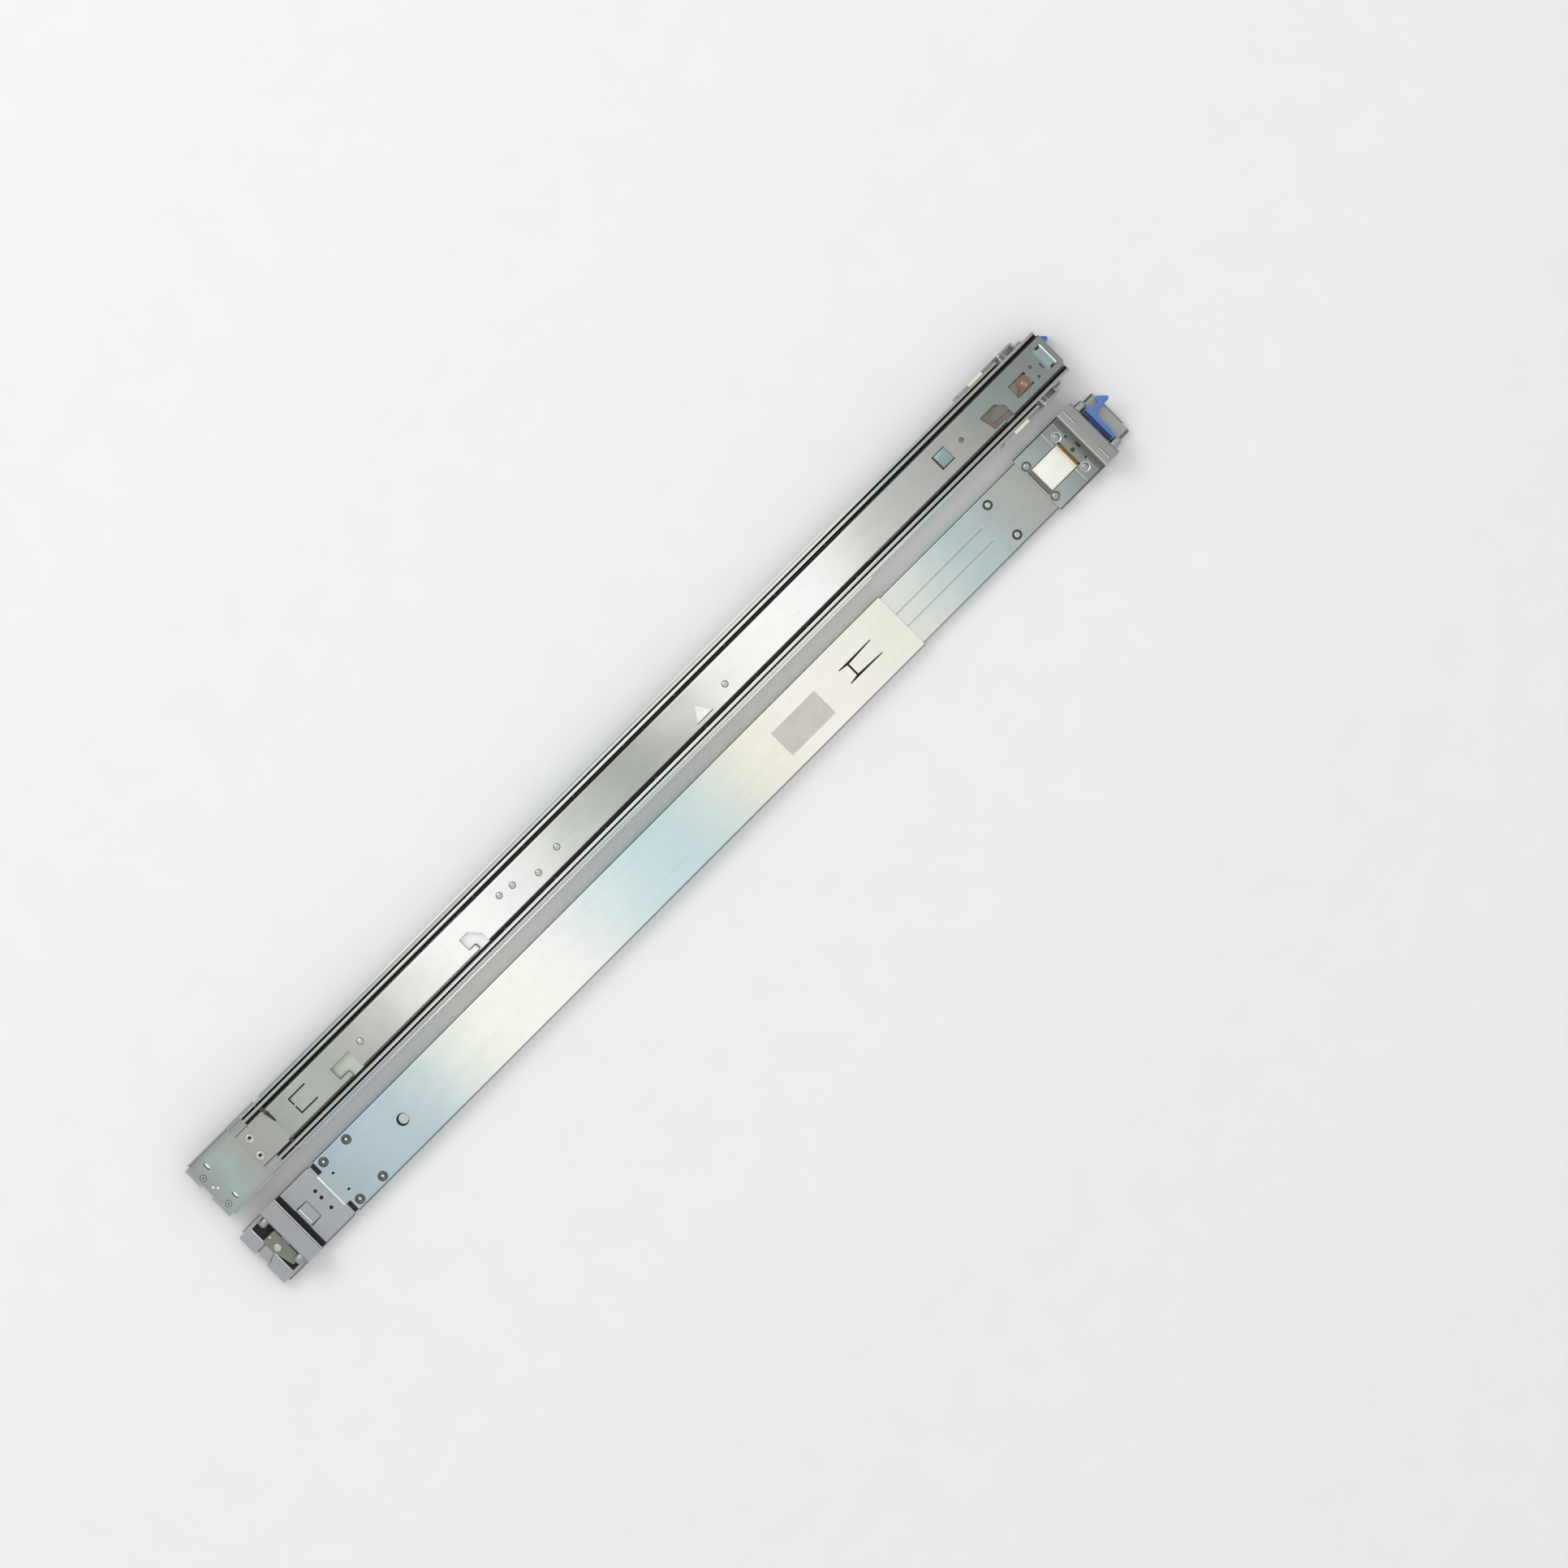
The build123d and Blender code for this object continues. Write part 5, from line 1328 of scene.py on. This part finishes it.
@dataclass
class ServerMember:
    """Details of the inner member, which carries the server.

    Places are from its rear end, and from its front end for the window, the lever and
    the front opening.
    """

    lay: Lay
    rivets: tuple[Point, ...] = ((209.9, 1.6), (227.2, -4.4), (246.9, -1.0))
    coins: tuple[Point, ...] = ((72.4, 0.0), (199.4, 2.9), (394.5, -3.4))
    lance_start: float = 14.2
    lance_length: float = 14.9
    lance_across: Span = (5.2, 6.9)
    lance_depths: Span = (8.8, 9.3)
    hook_slots: tuple[Span, ...] = ((46.3, 54.2), (162.1, 167.6))
    notch: Span = (362.9, 379.9)
    notch_edge: Span = (364.5, 378.3)
    shade_depths: Span = (8.9, 9.35)
    window: float = 102.7
    window_length: float = 10.7
    window_tab: Span = (1.3, 12.2)
    window_depths: Span = (8.6, 8.9)
    lever_slot: Span = (-66.0, -39.0)
    lever_window: Span = (-38.5, -20.5)
    lever_rivet: Point = (28.4, -2.5)
    lever_notch: Span = (-24.0, -23.0)
    opening: float = 10.5

    def build(self) -> None:
        """Make every detail of the member."""
        self.web_rivets()
        self.lance()
        self.slot_edges()
        self.tab()
        self.lever_seat()
        self.lever_parts()
        self.front_opening()

    @property
    def rear(self) -> float:
        """Return the member's rear end."""
        return self.lay.span("inner_member")[0]

    @property
    def front(self) -> float:
        """Return the member's front end."""
        return self.lay.span("inner_member")[1]

    def web_rivets(self) -> None:
        """Set the flush rivets, whose heads stand in grooves of painted shade, and the coined discs ringed
        the same way.
        """
        places = [(self.rear + x, y) for x, y in self.rivets]
        coins = [(self.rear + x, y) for x, y in self.coins]
        head = [(0, 10.38), (1.2, 10.38), (1.7, 10.34), (2.0, 10.1), (2.0, 9.4), (0, 9.4)]
        flush = Work(self.lay, "inner_member_rivet_heads")
        flush.ring(head, places)
        flush.finished(RIVET, "server_member", ["inner_member_rivets"])
        groove = Work(self.lay, "inner_member_rivet_grooves")
        groove.ring([(2.0, 9.4), (2.29, 9.4), (2.29, 10.1), (2.0, 9.9), (2.0, 9.4)], places)
        groove.ring([(1.85, 10.0), (2.3, 10.0), (2.3, 10.22), (1.85, 10.16), (1.85, 10.0)], coins)
        groove.finished(SHADE_LINE, "server_member")
        coined = Work(self.lay, "inner_member_coined_discs")
        coined.ring([(0, 10.36), (1.5, 10.36), (1.85, 10.2), (1.85, 10.0), (0, 10.0)], coins)
        coined.finished(RIVET, "server_member")

    def lance(self) -> None:
        """Fill the C-shaped lance near the rear end with painted shade, and set its small stop with a
        painted highlight.
        """
        start, (near, far) = self.rear + self.lance_start, self.lance_across
        dark = Work(self.lay, "inner_member_lance_shade")
        dark.bar((start - 0.3, start + 1.2), (-far, far), *self.lance_depths)
        dark.bar((start + 1.2, start + self.lance_length), (near, far), *self.lance_depths, mirrored=True)
        dark.finished(SHADE_BLACK, "server_member")
        stop = Work(self.lay, "inner_member_lance_stop")
        stop.ring([(0, 10.3), (0.3, 10.26), (0.48, 10.1), (0.48, 8.8), (0, 8.8)], [(start + 0.5, 0.3)], 20)
        stop.finished(HIGHLIGHT_WHITE, "server_member")

    def slot_edges(self) -> None:
        """Paint shade along the hooked slots' lower edges and the three-cornered hole's edge, and close
        that hole with a floor of painted light.
        """
        rear = self.rear
        floor = Work(self.lay, "inner_member_notch_floor")
        floor.bar(beyond(rear, self.notch), (-11.0, 2.5), 9.0, 9.35)
        floor.finished(HIGHLIGHT_WHITE, "server_member")
        dark = Work(self.lay, "inner_member_slot_shades")
        for left, corner in self.hook_slots:
            dark.bar((rear + left, rear + corner), (-8.5, -7.9), *self.shade_depths)
            dark.bar((rear + corner - 0.4, rear + corner + 0.2), (-12.0, -8.5), *self.shade_depths)
        dark.bar(beyond(rear, self.notch_edge), (-9.6, -9.0), 9.3, 9.5)
        dark.finished(SHADE_LINE, "server_member")

    def tab(self) -> None:
        """Set the pale blue tab behind its window."""
        start = self.front - self.window
        sides = (start, start + self.window_length)
        tab = Work(self.lay, "inner_member_window_tab")
        tab.bar(beyond(start, self.window_tab), (-4.6, 4.9), 8.5, 9.3, 0.15)
        tab.finished(RECESS, "server_member")
        # Painted shade: a dark gap round the tab
        dark = Work(self.lay, "inner_member_window_gap")
        dark.bar((start - 1.0, start + 1.3), (-6.0, 6.0), *self.window_depths)
        dark.bar(sides, (4.9, 6.0), *self.window_depths)
        dark.bar(sides, (-6.0, -4.6), *self.window_depths)
        dark.finished(SHADE_LINE, "server_member")

    def lever_seat(self) -> None:
        """Back the front slot and the lever's window with browned plates."""
        guide = Work(self.lay, "lock_lever_guide")
        guide.bar(beyond(self.front, self.lever_slot), (-11.4, 6.0), 7.9, 8.15)
        guide.finished(GUIDE, "server_member")
        seat = Work(self.lay, "lock_lever_window_floor")
        seat.bar(beyond(self.front, self.lever_window), (-9.0, 4.0), 7.0, 7.25)
        seat.finished(HEATED, "server_member")

    def lever_parts(self) -> None:
        """Turn the lever's copper rivet, set its leaf spring and paint shade black in its window's two
        notches.
        """
        front, (inset, y) = self.front, self.lever_rivet
        head = [
            (0, 10.36), (0.8, 10.3), (1.15, 10.05), (1.5, 10.0), (1.9, 10.28), (2.25, 10.38), (2.29, 9.4),
            (1.2, 9.4), (1.2, 8.1), (1.9, 8.1), (1.9, 7.6), (0, 7.6),
        ]
        copper = Work(self.lay, "lock_lever_rivet_turning")
        copper.ring(head, [(front - inset, y)])
        copper.finished(COPPER, "server_member", ["lock_lever_rivet"])
        blade = [(37.3, -6.8), (33.0, -4.4), (33.2, -2.9), (37.3, -5.0)]
        leaf = Work(self.lay, "lock_lever_leaf_spring")
        leaf.plate([(front - x, y) for x, y in blade], 9.35, 9.55, 0.05)
        leaf.finished(BRONZE, "server_member")
        dark = Work(self.lay, "lock_lever_window_gap")
        for across in ((0.95, 2.85), (-7.05, -5.95)):
            dark.bar(beyond(front, self.lever_notch), across, 9.6, 10.3)
        dark.finished(SHADE_BLACK, "server_member")

    def front_opening(self) -> None:
        """Form the front opening: a tinted floor, a lip with a painted highlight and two corner reliefs in
        painted shade.
        """
        start = self.front - self.opening
        floor = Work(self.lay, "front_opening_floor")
        floor.bar((start + 0.05, start + 6.0), (-7.95, 7.95), 9.5, 9.8)
        floor.finished(RECESS, "server_member")
        lip = Work(self.lay, "front_opening_lip")
        lip.bar((start + 6.0, start + 7.1), (-7.6, 7.9), 9.5, 10.36, 0.2)
        lip.finished(HIGHLIGHT_WHITE, "server_member")
        reliefs = Work(self.lay, "front_opening_reliefs")
        arc = [i * math.pi / 10 for i in range(11)]
        for x, y, side in ((start + 3.9, 7.94, -1), (start + 3.4, -7.94, 1)):
            reliefs.plate([(x + 1.9 * math.cos(t), y + side * 1.5 * math.sin(t)) for t in arc], 9.7, 10.3)
        reliefs.finished(SHADE_BLACK, "server_member")


@dataclass
class BallRows:
    """The balls of one cage, round where the solids have flats."""

    lay: Lay
    node: str
    body: str
    depth: float
    across: float
    radius: float = 1.55
    count: int = 8

    def build(self) -> None:
        """Place the balls along the solids' own span."""
        start, end = self.lay.span(self.node)
        first, last = start + self.radius, end - self.radius
        work = Work(self.lay, f"{self.node}_round")
        for i in range(self.count):
            for x, y in pair(first + (last - first) * i / (self.count - 1), self.across):
                work.sphere((x, y, self.depth), self.radius)
        work.finished(BALL, self.body, [self.node], 180.0)


@dataclass
class Studio:
    """Floor, light and camera, in metres."""

    floor_half: float = 40.0
    tent: tuple[float, float] = (0.5, 1.0)
    tent_top: float = 0.95
    softbox_at: tuple[float, float, float] = (-0.2, 1.7, 2.1)
    softbox_side: float = 1.3
    softbox_watts: float = 15.0
    camera_height: float = 5.0
    aim: tuple[float, float] = (0.0644, -0.0474)
    turn: float = -45.0
    lens: float = 181.2
    sensor: float = 36.0

    def build(self) -> None:
        """Make the stage."""
        self.floor()
        self.world()
        self.softbox()
        self.camera()

    def floor(self) -> None:
        """Lay the pale floor under the pair."""
        bm = bmesh.new()
        bmesh.ops.create_grid(bm, x_segments=1, y_segments=1, size=self.floor_half)
        mesh = bpy.data.meshes.new("floor")
        bm.to_mesh(mesh)
        bm.free()
        made = bpy.data.objects.new("floor", mesh)
        bpy.context.scene.collection.objects.link(made)
        mesh.materials.append(PAPER.material())

    def world(self) -> None:
        """Light the pair from a pale tent that darkens towards its foot."""
        world = bpy.data.worlds.new("studio")
        bpy.context.scene.world = world
        world.use_nodes = True
        tree = world.node_tree
        tree.nodes.clear()
        way = add_node(tree, "ShaderNodeTexCoord").outputs["Generated"]
        height = add_node(tree, "ShaderNodeSeparateXYZ", {}, {"Vector": way}).outputs["Z"]
        foot, top = self.tent
        links = {"Value": height, "From Min": 0.0, "From Max": self.tent_top, "To Min": foot, "To Max": top}
        level = add_node(tree, "ShaderNodeMapRange", {}, links).outputs["Result"]
        tent = add_node(tree, "ShaderNodeBackground", {}, {"Color": linear("#FFFFFF"), "Strength": level})
        add_node(tree, "ShaderNodeOutputWorld", {}, {"Surface": tent.outputs["Background"]})

    def softbox(self) -> None:
        """Hang a square softbox that looks at the pair."""
        data = bpy.data.lights.new("key_softbox", "AREA")
        data.shape = "SQUARE"
        data.size = self.softbox_side
        data.energy = self.softbox_watts
        made = bpy.data.objects.new("key_softbox", data)
        made.location = self.softbox_at
        made.rotation_euler = (-Vector(self.softbox_at)).to_track_quat("-Z", "Y").to_euler()
        made.visible_camera = False
        bpy.context.scene.collection.objects.link(made)

    def camera(self) -> None:
        """Hang the camera over the pair, turned so that the rails cross the picture."""
        data = bpy.data.cameras.new("camera")
        data.lens = self.lens
        data.sensor_width = self.sensor
        made = bpy.data.objects.new("camera", data)
        made.location = (*self.aim, self.camera_height)
        made.rotation_euler = (0.0, 0.0, math.radians(self.turn))
        bpy.context.scene.collection.objects.link(made)
        bpy.context.scene.camera = made


def main() -> None:
    """Load the frame, dress both rails and build the studio."""
    logging.basicConfig(level=logging.INFO, format="%(name)s: %(message)s")
    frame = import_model()
    bpy.context.scene.view_settings.view_transform = "Standard"
    for hand in Hand:
        lay = Lay(hand)
        Solids(lay).dress(frame["nodes"])
        for part in (
            RearExtension(lay),
            FrontEnd(lay),
            SlideInterior(lay),
            ServerMember(lay),
            BallRows(lay, "outer_balls", "outer_cage", depth=5.3, across=17.6),
            BallRows(lay, "inner_balls", "inner_cage", depth=8.2, across=14.3),
        ):
            part.build()
    Studio().build()


if __name__ == "__main__":
    main()
